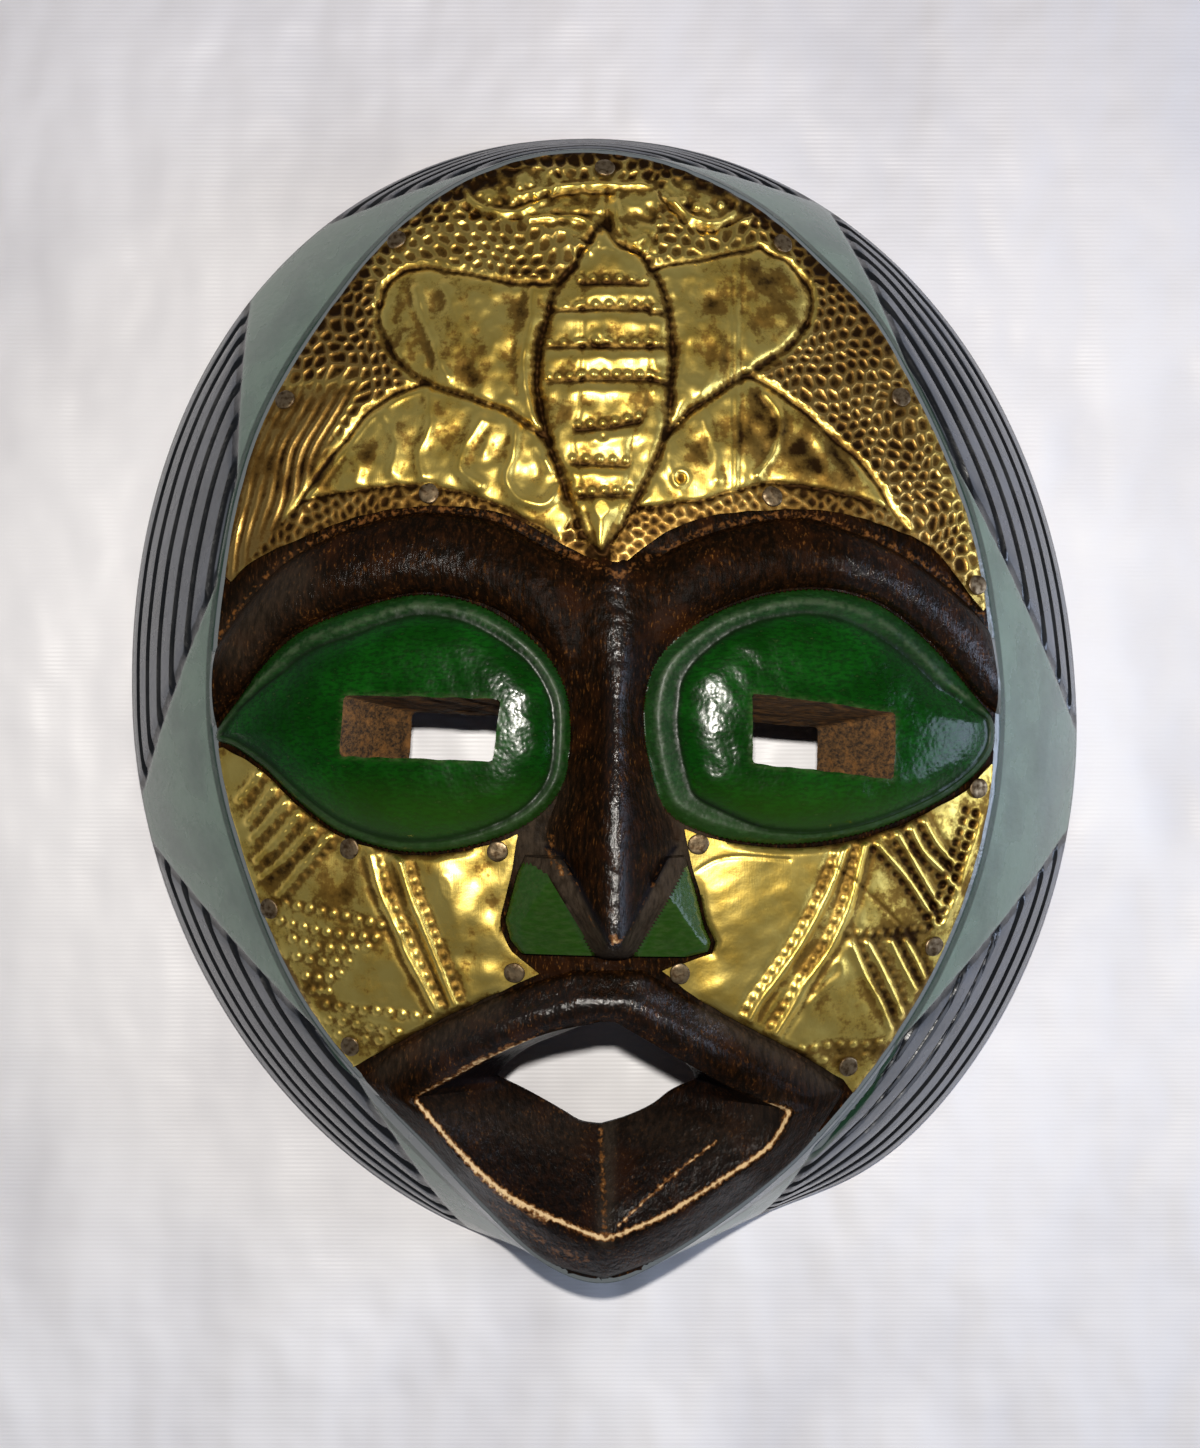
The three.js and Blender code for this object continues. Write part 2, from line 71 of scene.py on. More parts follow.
# %% [markdown]
# ## The shape that everything is carved on
#
# The rim that lies on the table is two half superellipses on an axis that leans a little. The
# face edge is a smooth hand-drawn oval inside it and higher up. Between the two runs the side
# band. The face is a shallow dome on that edge. These few numbers are the same as in the frame.

# %% Main dimensions
SHIFT = np.array([0.046, -3.327, 0.0])
HUB = np.array([0.0, -5.0])

RIM_HALF_WIDTH = 115.4
RIM_WIDEST_Y = 0.6
RIM_TOP_REACH = 140.0
RIM_BOTTOM_REACH = 134.6
RIM_TOP_SQUARENESS = 2.1
RIM_BOTTOM_SQUARENESS = 1.93
RIM_LEAN = 0.034
RIM_TRIM = 4.5
RIM_TRIM_DEGREES = -71.5
RIM_TRIM_SPAN = 10.5
RIM_LIP = 3.0
RIM_FLAT = 11.0

FACE_EDGE = [
    (-3, 130), (-18, 128.6), (-33, 123), (-46, 113.8), (-58, 100.5), (-78, 66.5), (-87, 28),
    (-88.5, -4), (-81.5, -35), (-67, -67.5), (-40, -99), (-13, -125.5), (0, -129.5), (13, -124.5),
    (44, -101), (71, -65.5), (85, -32), (89, -1), (86.6, 26), (83.5, 41), (78.5, 56), (70.5, 74.5),
    (61.5, 91), (49.5, 104.4), (35.2, 117.2), (15, 127),
]
FACE_EDGE_HEIGHT = 40.0
FOREHEAD_EDGE_DROP = 10.0
CHIN_EDGE_DROP = 3.0
FACE_CROWN = 19.0
CROWN_POWER = 2.2
BAND_SWELL = 0.05
HOLLOW_DEPTH = 38.0
HOLLOW_SQUARENESS = 4

# %% Curves and simple measures


def spline(points, closed=False, per_span=16):
    """A smooth curve through the points, the way a carver's pencil would join them."""
    knots = np.array(points, float)
    if closed:
        knots = np.vstack([knots[-1:], knots, knots[:2]])
    else:
        knots = np.vstack([2 * knots[0] - knots[1], knots, 2 * knots[-1] - knots[-2]])
    line = []
    for a, b, c, d in zip(knots, knots[1:], knots[2:], knots[3:]):
        t1 = np.linalg.norm(b - a) ** 0.5
        t2 = t1 + np.linalg.norm(c - b) ** 0.5
        t3 = t2 + np.linalg.norm(d - c) ** 0.5
        t = np.linspace(t1, t2, per_span, endpoint=False)[:, None]
        ab = (t1 - t) / t1 * a + t / t1 * b
        bc = (t2 - t) / (t2 - t1) * b + (t - t1) / (t2 - t1) * c
        cd = (t3 - t) / (t3 - t2) * c + (t - t2) / (t3 - t2) * d
        abc = (t2 - t) / t2 * ab + t / t2 * bc
        bcd = (t3 - t) / (t3 - t1) * bc + (t - t1) / (t3 - t1) * cd
        line.append((t2 - t) / (t2 - t1) * abc + (t - t1) / (t2 - t1) * bcd)
    if not closed:
        line.append(knots[-2:-1])
    return np.vstack(line)


def spaced(line, step, closed=False):
    """The same line with its points a fixed step apart."""
    line = np.array(line, float)
    if closed:
        line = np.vstack([line, line[:1]])
    run = np.concatenate([[0], np.cumsum(np.hypot(*np.diff(line, axis=0).T))])
    count = max(2, int(round(run[-1] / step)))
    at = np.linspace(0, run[-1], count + 1)
    if closed:
        at = at[:-1]
    return np.column_stack([np.interp(at, run, line[:, 0]), np.interp(at, run, line[:, 1])])


def beside(line, gap, closed=False):
    """A copy of the line, moved to its left by a gap."""
    if closed:
        run = np.roll(line, -1, axis=0) - np.roll(line, 1, axis=0)
    else:
        run = np.gradient(line, axis=0)
    normal = np.column_stack([-run[:, 1], run[:, 0]])
    normal /= np.maximum(np.hypot(*normal.T), 1e-9)[:, None]
    return line + np.reshape(gap, (-1, 1)) * normal


# %% Distances, insides and areas


def measure(points, line, closed=False, reach=1e6):
    """Each point's distance to a line, up to a reach, and how far along the line its foot is."""
    line = np.array(line, float)
    if closed:
        line = np.vstack([line, line[:1]])
    best = np.full(len(points), 1e6)
    along = np.zeros(len(points))
    in_reach = (points > line.min(0) - reach) & (points < line.max(0) + reach)
    near = np.nonzero(in_reach.all(1))[0]
    some = points[near]
    closest = np.full(len(some), 1e6)
    where = np.zeros(len(some))
    run = 0.0
    for a, b in zip(line, line[1:]):
        step = b - a
        length = np.hypot(*step)
        if length < 1e-9:
            continue
        t = np.clip(((some - a) @ step) / length**2, 0, 1)
        gap = np.hypot(some[:, 0] - a[0] - t * step[0], some[:, 1] - a[1] - t * step[1])
        nearer = gap < closest
        closest[nearer] = gap[nearer]
        where[nearer] = run + t[nearer] * length
        run += length
    best[near] = closest
    along[near] = where
    return best, along


def inside(points, loop):
    """Which points lie inside a closed loop."""
    x = points[:, 0]
    y = points[:, 1]
    odd = np.zeros(len(points), bool)
    for (ax, ay), (bx, by) in zip(loop, np.roll(loop, -1, axis=0)):
        if ay == by:
            continue
        crosses = (ay > y) != (by > y)
        odd ^= crosses & (x < (bx - ax) * (y - ay) / (by - ay) + ax)
    return odd


def signed_area(loop):
    """The area of a loop, positive where it runs against the clock."""
    ahead = np.roll(loop, -1, axis=0)
    return 0.5 * np.sum(loop[:, 0] * ahead[:, 1] - ahead[:, 0] * loop[:, 1])


# %% Soft steps, unevenness and directions


def eased(low, high, value):
    """0 up to one limit, 1 from the other, and a soft step between them."""
    t = np.clip((value - low) / (high - low), 0, 1)
    return t * t * (3 - 2 * t)


def bell(gap, width):
    """1 where a gap is nothing, falling softly away over a width."""
    return np.exp(-(gap / width) ** 2)


def away_from(points, x, y):
    """Each point's distance to one place."""
    return np.hypot(*(points - (x, y)).T)


def uneven(points, size, seed):
    """Soft waves between about -1 and 1 with lumps of one size: no hand-made surface is true."""
    dice = np.random.default_rng(seed)
    total = np.zeros(len(points))
    for _ in range(8):
        turn = dice.uniform(0, 2 * np.pi)
        pitch = size * dice.uniform(1.4, 3)
        phase = dice.uniform(0, 2 * np.pi)
        across = points[:, 0] * np.cos(turn) + points[:, 1] * np.sin(turn)
        total += np.sin(across * 2 * np.pi / pitch + phase)
    return total / 4


def reach_from(centre, loop):
    """A function that gives the distance from a centre to a loop in any direction."""
    offset = np.array(loop) - centre
    turn = np.arctan2(offset[:, 1], offset[:, 0])
    order = np.argsort(turn)
    far = np.hypot(*offset.T)
    return lambda angle: np.interp(angle, turn[order], far[order], period=2 * np.pi)


def directions(turn):
    """Unit steps in given directions."""
    return np.column_stack([np.cos(turn), np.sin(turn)])


def ring(reach, turn):
    """Points at a distance from the hub, one for each direction."""
    return HUB + reach[:, None] * directions(turn)


# %% Rim, band, face and hollow


def rim_loop(count):
    """The full oval of the rim, before its trim."""
    turn = np.linspace(0, 2 * np.pi, count, endpoint=False)
    up = np.sin(turn)
    power = np.where(up > 0, 2 / RIM_TOP_SQUARENESS, 2 / RIM_BOTTOM_SQUARENESS)
    reach = np.where(up > 0, RIM_TOP_REACH, RIM_BOTTOM_REACH)
    y = RIM_WIDEST_Y + np.sign(up) * np.abs(up) ** power * reach
    x = np.sign(np.cos(turn)) * np.abs(np.cos(turn)) ** power * RIM_HALF_WIDTH
    return np.column_stack([x - RIM_LEAN * y, y])


face_reach = reach_from(HUB, spline(FACE_EDGE, closed=True, per_span=30))
full_rim_reach = reach_from(HUB, rim_loop(1440))


def rim_reach(turn):
    """The rim, taken in on the lower right, where it runs almost straight to the chin."""
    turned = np.asarray(turn) - math.radians(RIM_TRIM_DEGREES)
    away = np.degrees(np.arctan2(np.sin(turned), np.cos(turned))) / RIM_TRIM_SPAN
    return full_rim_reach(turn) - RIM_TRIM * np.exp(-(away**2))


def edge_height(y):
    """The face edge sinks towards the crown and a little towards the chin."""
    crown_drop = FOREHEAD_EDGE_DROP * eased(40, 128, y)
    chin_drop = CHIN_EDGE_DROP * eased(60, 130, -y)
    return FACE_EDGE_HEIGHT - crown_drop - chin_drop


def polar(points):
    """The direction and distance of each point from the hub."""
    x = points[:, 0] - HUB[0]
    y = points[:, 1] - HUB[1]
    return np.arctan2(y, x), np.hypot(x, y)


def face_height(points):
    """The plain dome under all carving."""
    turn, radius = polar(points)
    reach = face_reach(turn)
    share = np.minimum(radius / reach, 1)
    edge = edge_height(HUB[1] + reach * np.sin(turn))
    to_edge = (edge - FACE_EDGE_HEIGHT) * share**2
    return FACE_EDGE_HEIGHT + to_edge + FACE_CROWN * (1 - share**CROWN_POWER)


def hollow_height(points):
    """The ceiling of the hollow back, a flat vault inside the flat of the rim."""
    turn, radius = polar(points)
    share = np.minimum(radius / (full_rim_reach(turn) - RIM_FLAT), 1)
    return HOLLOW_DEPTH * np.sqrt(1 - share**HOLLOW_SQUARENESS)


def band_place(turn, share):
    """A point of the side band: share 0 is the face edge and 1 the lip of the rim."""
    reach = face_reach(turn)
    edge = edge_height(HUB[1] + reach * np.sin(turn))
    across = rim_reach(turn) - reach
    swell = BAND_SWELL * across * 4 * share * (1 - share)
    drop = edge - RIM_LIP
    slope = np.hypot(across, drop)
    radius = reach + across * share + swell * drop / slope
    height = edge - drop * share + swell * across / slope
    return radius, height, slope


print("face height at the hub: %.1f mm" % face_height(HUB[None])[0])

# %% [markdown]
# ## What stands proud of the face
#
# Each feature is a height added to the dome. The brows are rounded rolls, the eyes long domes
# with an incised line inside the lid, the nose a wedge whose end is cut to a V, the nostrils
# two painted facets below it, and the mouth a frame of four arms round a funnel. A function of
# the place on the face is the right way to hold them, because a carver also works down from
# one skin and every feature meets its neighbour in a clean valley.

# %% Outlines of the brows
BROW_HEIGHT = 4.2
LEFT_BROW_UPPER = [
    (-88.5, 13), (-84, 19.5), (-79.5, 25), (-72, 32.5), (-61, 38.5), (-46.5, 43), (-36, 43.6),
    (-24, 41.5), (-12.5, 35.5), (3, 28.5),
]
LEFT_BROW_LOWER = [
    (-88.5, -3.5), (-85.5, 0.4), (-79.5, 7), (-71.6, 16.1), (-62.8, 20.9), (-53.6, 23.8), (-40.2, 26.4),
    (-31.3, 25.2), (-22.3, 21.9), (-13.4, 14.7), (-8, 8),
]
RIGHT_BROW_UPPER = [
    (89.3, 11.5), (87.2, 17), (83.1, 22.4), (74.1, 29.8), (62.5, 36.5), (53.5, 40), (44.5, 42.5),
    (33, 41.5), (18, 37), (3, 28.5),
]
RIGHT_BROW_LOWER = [
    (89, -0.6), (83.9, 3.7), (76, 12.6), (67.4, 20.2), (58.5, 25.3), (47, 27.6), (33.4, 25.9),
    (20.2, 20.3), (12.2, 13.6), (8, 9),
]

# %% Outlines of the eyes
# The lid table gives, for directions in degrees round the eye, how far inside its outline the
# worn crest of the lid runs and how far inside the valley where the dome begins.
EYE_DOME = 3.1
EYE_TILT = 0.045
LID_FOOT = 0.4
VALLEY_HEIGHT = 1.15
CREST_HEIGHT = 2.0
LEFT_EYE = {
    "centre": (-41, -2),
    "outline": [
        (-87.6, -5.5), (-81.5, 3.5), (-74.8, 11.7), (-67.3, 17.8), (-53.6, 22.9), (-40.2, 25.6),
        (-27.1, 23), (-14, 13.9), (-8.6, 4.8), (-7.6, -5), (-9.4, -16), (-16.2, -23.6), (-31.5, -29.4),
        (-44.8, -30.2), (-58.3, -26.3), (-67.4, -20), (-76.8, -11.6), (-83, -7.6),
    ],
    "lid": [
        (0, 1.9, 3.4), (45, 2.2, 4.2), (90, 2.4, 4.4), (130, 3.0, 5.4), (160, 2.4, 4.6), (176, 0.7, 1.7),
        (200, 1.0, 2.0), (230, 1.3, 2.4), (270, 1.4, 2.6), (300, 1.6, 2.8), (330, 2.0, 3.4),
    ],
    "slot": [(-59.7, 4.5), (-21, 2.4), (-22.4, -11), (-60.6, -8.8)],
    "slant": 0.71,
}
RIGHT_EYE = {
    "centre": (45, -2),
    "outline": [
        (87.2, -1.5), (83.5, 2.9), (75.6, 11.7), (67, 19.4), (58.3, 24.5), (47, 26.8), (33.6, 25.1),
        (20.5, 19.5), (11.6, 11.6), (8.6, 2.4), (9.7, -11.3), (13.6, -21.5), (22.7, -26.3), (38, -28.6),
        (55.9, -26.6), (74.4, -19.6), (83.5, -13.2), (87.4, -7.5),
    ],
    "lid": [
        (2, 0.8, 1.8), (16, 3.3, 5.6), (60, 3.1, 6.4), (95, 2.6, 5.2), (130, 2.4, 5.0), (170, 3.0, 7.0),
        (205, 3.0, 7.0), (228, 2.7, 5.4), (245, 2.2, 3.4), (270, 1.4, 2.4), (300, 1.2, 2.2), (345, 1.0, 2.0),
    ],
    "slot": [(30.8, 3.9), (68.7, 0.9), (67.9, -13.6), (30.2, -11.3)],
    "slant": -0.88,
}
EYES = {"left": LEFT_EYE, "right": RIGHT_EYE}
SLOT_RISE = 0.19
SLOT_TOP = 60.0

# %% Outlines of the nose and nostrils
# The nose tables give a height, or where an edge runs, at places down the face.
NOSE_TOP = (3, 30)
NOSE_TIP = (2, -49)
NOSE_HEIGHTS = [(30, 3.8), (8, 7), (-6, 9.5), (-30, 13.5), (-49, 16.5)]
NOSE_LEFT = [
    (24, -27), (17, -19), (11, -13.2), (3, -8.7), (-5, -7.4), (-18, -10), (-25, -12.4), (-29, -12.6),
    (-31.2, -8.6), (-49, 1),
]
NOSE_RIGHT = [
    (24, 28), (17, 20), (11, 13.4), (3, 9.2), (-5, 8.9), (-18, 11.8), (-25, 14.4), (-29, 15.3),
    (-31.5, 13), (-49, 3),
]
NOSE_WING_Y = -29
NOSE_ROUNDNESS = 0.016
NOSE_FOOT = 0.6
UNDERCUT = 4.6

NOSTRIL_OUTLINE = [
    (-17.2, -31), (-19, -35), (-21.7, -45.2), (-20.6, -49.4), (-18.2, -52.4), (17.8, -53.1),
    (22.4, -52), (23, -50), (21.4, -46.5), (19.6, -39), (17.2, -31),
]
NOSTRIL_PAINT_TOP = -32.5
NOSTRIL_FOOT_Y = -52
NOSTRIL_FRONT = 3.0
NOSTRIL_SIDE = 2.2

# %% Outlines of the mouth
MOUTH_CENTRE = np.array([-1.0, -86.0])
MOUTH_OUTER = [
    (-55, -82.6), (-45, -74), (-33, -67), (-20, -60.8), (-7, -56.2), (8, -56.2), (20, -63.7),
    (33, -71), (43, -76.8), (54, -85), (44.5, -99.1), (30.4, -111.3), (13.8, -122.7), (0, -128.2),
    (-13.2, -124), (-28.2, -110.3), (-40, -97.4), (-48.5, -89),
]
MOUTH_OPENING = [
    (-42.5, -85.5), (-34, -80.6), (-25, -75.4), (-13, -69.8), (-1.2, -66.9), (2.2, -66.9), (13, -73.5),
    (22, -79), (31, -84), (41, -88), (37, -95.5), (26, -103.5), (13, -111.5), (0, -117),
    (-13, -111.5), (-22.5, -106.5), (-31, -99), (-38, -91),
]
MOUTH_HOLE = [
    (-23.5, -82.8), (-20.5, -79.5), (-16, -76), (-9.5, -73.4), (-1.2, -70), (2.2, -70), (9.5, -74.6),
    (14, -77), (17.5, -80), (19.8, -83.5), (15, -86.5), (11, -89.5), (5, -92.4), (-1, -94.3),
    (-5.5, -93.6), (-9.5, -91.2), (-14, -88.5), (-19.5, -85.5),
]
MOUTH_HOLE_Z = 33.0
MOUTH_CUT_Z = 36.0
MOUTH_FUNNEL_DEPTH = 24.0
FACET_DEPTH = 3.2
FACET_SHARE = 0.27

# %% Smooth loops through the outlines
brow_lines = {
    "left": (spline(LEFT_BROW_UPPER), spline(LEFT_BROW_LOWER)),
    "right": (spline(RIGHT_BROW_UPPER), spline(RIGHT_BROW_LOWER)),
}
eye_loops = {}
for side, eye in EYES.items():
    loop = spaced(spline(eye["outline"], closed=True), 0.5, closed=True)
    eye_loops[side] = loop if signed_area(loop) > 0 else loop[::-1]


def cornered(points):
    """A loop whose corners stay sharp while the sides between them are smooth."""
    corners = [0, 4, 5, 9, 13, len(points)]
    wrapped = list(points) + [points[0]]
    sides = [spline(wrapped[a:b + 1])[:-1] for a, b in zip(corners, corners[1:])]
    return np.vstack(sides)


def cut_level(y):
    """The hole's edge is higher under the upper lip than in the lower funnel."""
    return MOUTH_CUT_Z + (MOUTH_HOLE_Z - MOUTH_CUT_Z) * eased(-80, -86, y)


def scaled_hole():
    """The hole's outline at the level where it is cut, a little towards the opening."""
    made = []
    for (hx, hy), (ox, oy) in zip(MOUTH_HOLE, MOUTH_OPENING):
        share = (cut_level(hy) - MOUTH_HOLE_Z) / MOUTH_FUNNEL_DEPTH
        made.append((hx + (ox - hx) * share, hy + (oy - hy) * share))
    return made


mouth_outer = cornered(MOUTH_OUTER)
mouth_opening = cornered(MOUTH_OPENING)
mouth_hole = cornered(scaled_hole())
print("area of the mouth hole: %.0f square mm" % abs(signed_area(mouth_hole)))


def radial_share(points, centre, loop):
    """0 at the centre of a loop and 1 on it."""
    offset = points - np.array(centre)
    return np.hypot(*offset.T) / reach_from(centre, loop)(np.arctan2(offset[:, 1], offset[:, 0]))


# %% Outlines of the brass and the places of the tacks
SHEET_GAP = 0.3
SHEET_THICKNESS = 0.6
SHEET_INSET = 1.2

FOREHEAD_EDGE = [
    (-84, 29.5), (-78.5, 34), (-67, 38.8), (-53.5, 43.4), (-37, 45.3), (-22, 43.2), (-13.5, 39),
    (-6.5, 35), (2.8, 31.3), (7.5, 35), (13, 39), (21.5, 42.5), (35.5, 44.3), (47.5, 44.5), (56.5, 43),
    (64.5, 40.5), (72.6, 36.9), (78.2, 31), (81.6, 26.8), (85.2, 22.8),
]
LEFT_CHEEK_EDGE = [
    (-56.8, -79.8), (-45.4, -72.9), (-33, -66), (-20, -59.6), (-14.4, -56.9), (-18.6, -53.6),
    (-20.6, -51.7), (-22.1, -48.4), (-22.7, -45.5), (-20.5, -35.5), (-18.9, -26.2), (-22.7, -28),
    (-31.5, -30.2), (-38.1, -31.1), (-45, -31), (-51.8, -29.5), (-58.7, -27.1), (-67.9, -20.7),
    (-77.2, -12.4), (-85.8, -7.8),
]
RIGHT_CHEEK_EDGE = [
    (87, -11.5), (84.4, -14), (80.6, -17.6), (74.7, -20.6), (65.3, -25), (56, -27.7), (47, -29.3),
    (38, -29.5), (29.2, -28.5), (22.9, -27.3), (17.2, -25.2), (18.2, -30.6), (20.5, -38.8), (22.3, -46.4),
    (24.1, -50), (23.4, -52.6), (18.4, -54.1), (12.4, -56.2), (20.3, -62.5), (33.5, -70.3), (43.6, -76),
    (53.4, -82.3),
]
SHEET_EDGES = {
    "forehead": (FOREHEAD_EDGE, [8]),
    "left_cheek": (LEFT_CHEEK_EDGE, [4, 10]),
    "right_cheek": (RIGHT_CHEEK_EDGE, [10, 14, 15, 17]),
}

TACKS = {
    "forehead": [
        (0, 124.5), (-47.5, 108), (-72, 70.5), (40.5, 107), (66.6, 71), (-38.5, 47.9), (36.5, 47.2),
        (83.3, 28.6),
    ],
    "left_cheek": [(-56, -29.8), (-23.2, -30), (-19.7, -56.6), (-57, -74.6), (-75, -43.8)],
    "right_cheek": [(20.1, -28.4), (83.4, -16.9), (73.5, -52.2), (16.2, -56.7), (54.3, -79)],
}


def sheet_outline(edge, corners, step):
    """The outline follows the carving, then returns along the face edge."""
    stops = [0] + corners + [len(edge) - 1]
    carved = np.vstack([spline(edge[a:b + 1])[:-1] for a, b in zip(stops, stops[1:])] + [[edge[-1]]])
    start = math.atan2(edge[-1][1] - HUB[1], edge[-1][0] - HUB[0])
    end = math.atan2(edge[0][1] - HUB[1], edge[0][0] - HUB[0])
    sweep = (end - start) % (2 * math.pi)
    turns = start + sweep * np.linspace(0, 1, 400)[1:-1]
    arc = ring(face_reach(turns) - SHEET_INSET, turns)
    loop = spaced(np.vstack([carved, arc]), step, closed=True)
    ragged = 0.1 * np.column_stack([uneven(loop, 3, 81), uneven(loop, 3, 82)])
    return loop + ragged


covers = [sheet_outline(edge, corners, 1.0) for edge, corners in SHEET_EDGES.values()]
print("areas of the sheets in square mm:", [round(abs(signed_area(loop))) for loop in covers])


def under_brass(points, depth):
    """Which points lie below a sheet and at least a distance in from its edge."""
    covered = np.zeros(len(points), bool)
    for loop in covers:
        covered |= inside(points, loop) & (measure(points, loop, closed=True, reach=3)[0] > depth)
    return covered


# %% Heights of the brows and eyes


def lid_gaps(points, side):
    """How far inside the outline the crest of the lid and its valley run, for each point."""
    offset = points - np.array(EYES[side]["centre"])
    turn = np.degrees(np.arctan2(offset[:, 1], offset[:, 0]))
    degrees, crest, valley = np.array(EYES[side]["lid"], float).T
    return np.interp(turn, degrees, crest, period=360), np.interp(turn, degrees, valley, period=360)


lids = {}
for side, loop in eye_loops.items():
    crest, valley = lid_gaps(loop, side)
    lids[side] = {"crest": beside(loop, crest, closed=True), "valley": beside(loop, valley, closed=True)}


def brow_lift(points, side):
    """The rounded roll of a brow, which sinks where it runs into the nose."""
    upper, lower = brow_lines[side]
    loop = np.vstack([upper, lower[::-1]])
    within = inside(points, loop)
    to_upper = measure(points, upper)[0]
    to_lower = measure(points, lower)[0]
    t = to_upper / np.maximum(to_upper + to_lower, 1e-6)
    lift = BROW_HEIGHT * np.sqrt(np.clip(4 * t * (1 - t), 0, 1))
    from_nose = np.abs(points[:, 0] - NOSE_TOP[0])
    return np.where(within, lift * (0.35 + 0.65 * eased(1, 17, from_nose)), 0)


def eye_lift(points, side):
    """The height of an eye: a lid with a worn crest, a valley, and the long dome inside it."""
    centre = EYES[side]["centre"]
    share = radial_share(points, centre, eye_loops[side])
    inner = np.minimum(radial_share(points, centre, lids[side]["valley"]), 1)
    gap = measure(points, eye_loops[side], closed=True)[0]
    crest, valley = lid_gaps(points, side)
    outer_slope = LID_FOOT + (CREST_HEIGHT - LID_FOOT) * np.clip(gap / crest, 0, 1) ** 0.8
    down = np.clip((gap - crest) / (valley - crest), 0, 1)
    inner_slope = CREST_HEIGHT + (VALLEY_HEIGHT - CREST_HEIGHT) * down
    lid = np.where(gap < crest, outer_slope, inner_slope)
    tilt = EYE_TILT * (points[:, 1] - centre[1]) * (1 - inner**4)
    dome = VALLEY_HEIGHT + EYE_DOME * (1 - inner**7) - tilt
    return np.where(share < 1, np.where(inner < 1, dome, lid), 0)


def lid_marks(points, side):
    """Paint measures of an eye: the rubbed crest, the strip of the lid, and painted shade in the valley."""
    within = inside(points, eye_loops[side])
    gap = measure(points, eye_loops[side], closed=True)[0]
    crest, valley = lid_gaps(points, side)
    upper = eased(-14, 0, points[:, 1])
    crest_mark = bell(gap - crest, 0.4) * (0.4 + 0.6 * upper)
    strip = eased(valley + 0.3, valley - 0.4, gap)
    valley_shade = bell(gap - valley, 0.55)
    return [np.where(within, mark, 0) for mark in (crest_mark, strip, valley_shade)]


# %% Heights of the nose and nostrils


def nose_foot(table, y):
    """A value of the nose at a height on the face, from a table that runs downwards."""
    keys = [-k for k, _ in table]
    return np.interp(-y, keys, [v for _, v in table])


def nose_lift(points):
    """The height of the nose and where it stands: a narrow root that opens into a wedge."""
    x, y = points.T
    travel = (NOSE_TOP[1] - y) / (NOSE_TOP[1] - NOSE_TIP[1])
    ridge_x = NOSE_TOP[0] + (NOSE_TIP[0] - NOSE_TOP[0]) * travel
    ridge = nose_foot(NOSE_HEIGHTS, y)
    wing_y = np.maximum(y, NOSE_WING_Y)
    left = nose_foot(NOSE_LEFT, y)
    right = nose_foot(NOSE_RIGHT, y)
    left_wing = ridge_x - nose_foot(NOSE_LEFT, wing_y)
    right_wing = nose_foot(NOSE_RIGHT, wing_y) - ridge_x
    wing = np.where(x < ridge_x, left_wing, right_wing)
    share = np.abs(x - ridge_x) / wing
    share = np.minimum(np.sqrt(share**2 + NOSE_ROUNDNESS), 1)
    full = eased(4, -22, y)
    lift = ridge * (full * (1 - share**1.4) + (1 - full) * (1 - share) ** 1.5) + NOSE_FOOT * full
    within = (x > left) & (x < right) & (y < 34) & (y > NOSE_TIP[1])
    lift = lift * eased(36, 27, y)
    return np.where(within, lift, 0), within


nose_v = np.array([(-12.6, -29), (-8.6, -31.2), (1, -49), (3, -49), (13, -31.5), (15.3, -29)], float)


def nostril_lift(points):
    """The block below the nose, its front sloping down and its sides cut steeply."""
    loop = np.array(NOSTRIL_OUTLINE, float)
    within = inside(points, loop)
    to_left = measure(points, loop[:5])[0]
    to_right = measure(points, loop[5:])[0]
    front = NOSTRIL_FRONT + 0.35 * (points[:, 1] - NOSTRIL_FOOT_Y)
    lift = np.minimum(front, NOSTRIL_SIDE + 0.9 * np.minimum(to_left, to_right))
    return np.where(within, lift, 0)


def undercut_lift(points, under):
    """The dark underside of the nose slopes from the cut V down to the nostrils."""
    gap, along = measure(points, nose_v)
    foot = spaced(nose_v, 0.5)
    run = np.linspace(0, 1, len(foot))
    length = np.hypot(*np.diff(nose_v, axis=0).T).sum()
    edge_lift = np.interp(along / length, run, nose_lift(foot * [0.985, 0.995])[0] + 0.01)
    share = np.clip(gap / UNDERCUT, 0, 1)
    below = points[:, 1] < NOSE_WING_Y + 1.5
    return np.where(below & (gap < UNDERCUT), edge_lift + (under - edge_lift) * share, 0)


# %% Height of the mouth
# Each arm of the frame is a row of pairs: the share of the way inwards, and the height there.
UPPER_ARM = [
    (0, 0.6), (0.04, 1.5), (0.35, 3.7), (0.39, 4.0), (0.43, 4.8), (0.5, 5.2), (0.56, 5.45), (0.62, 5.65),
    (0.7, 5.75), (0.8, 5.6), (0.9, 5.1), (1, 4.3),
]
LOWER_ARM = [(0, 0.6), (0.04, 1.6), (0.8, 6.1), (0.9, 6.5), (0.96, 6.3), (1, 5.3)]


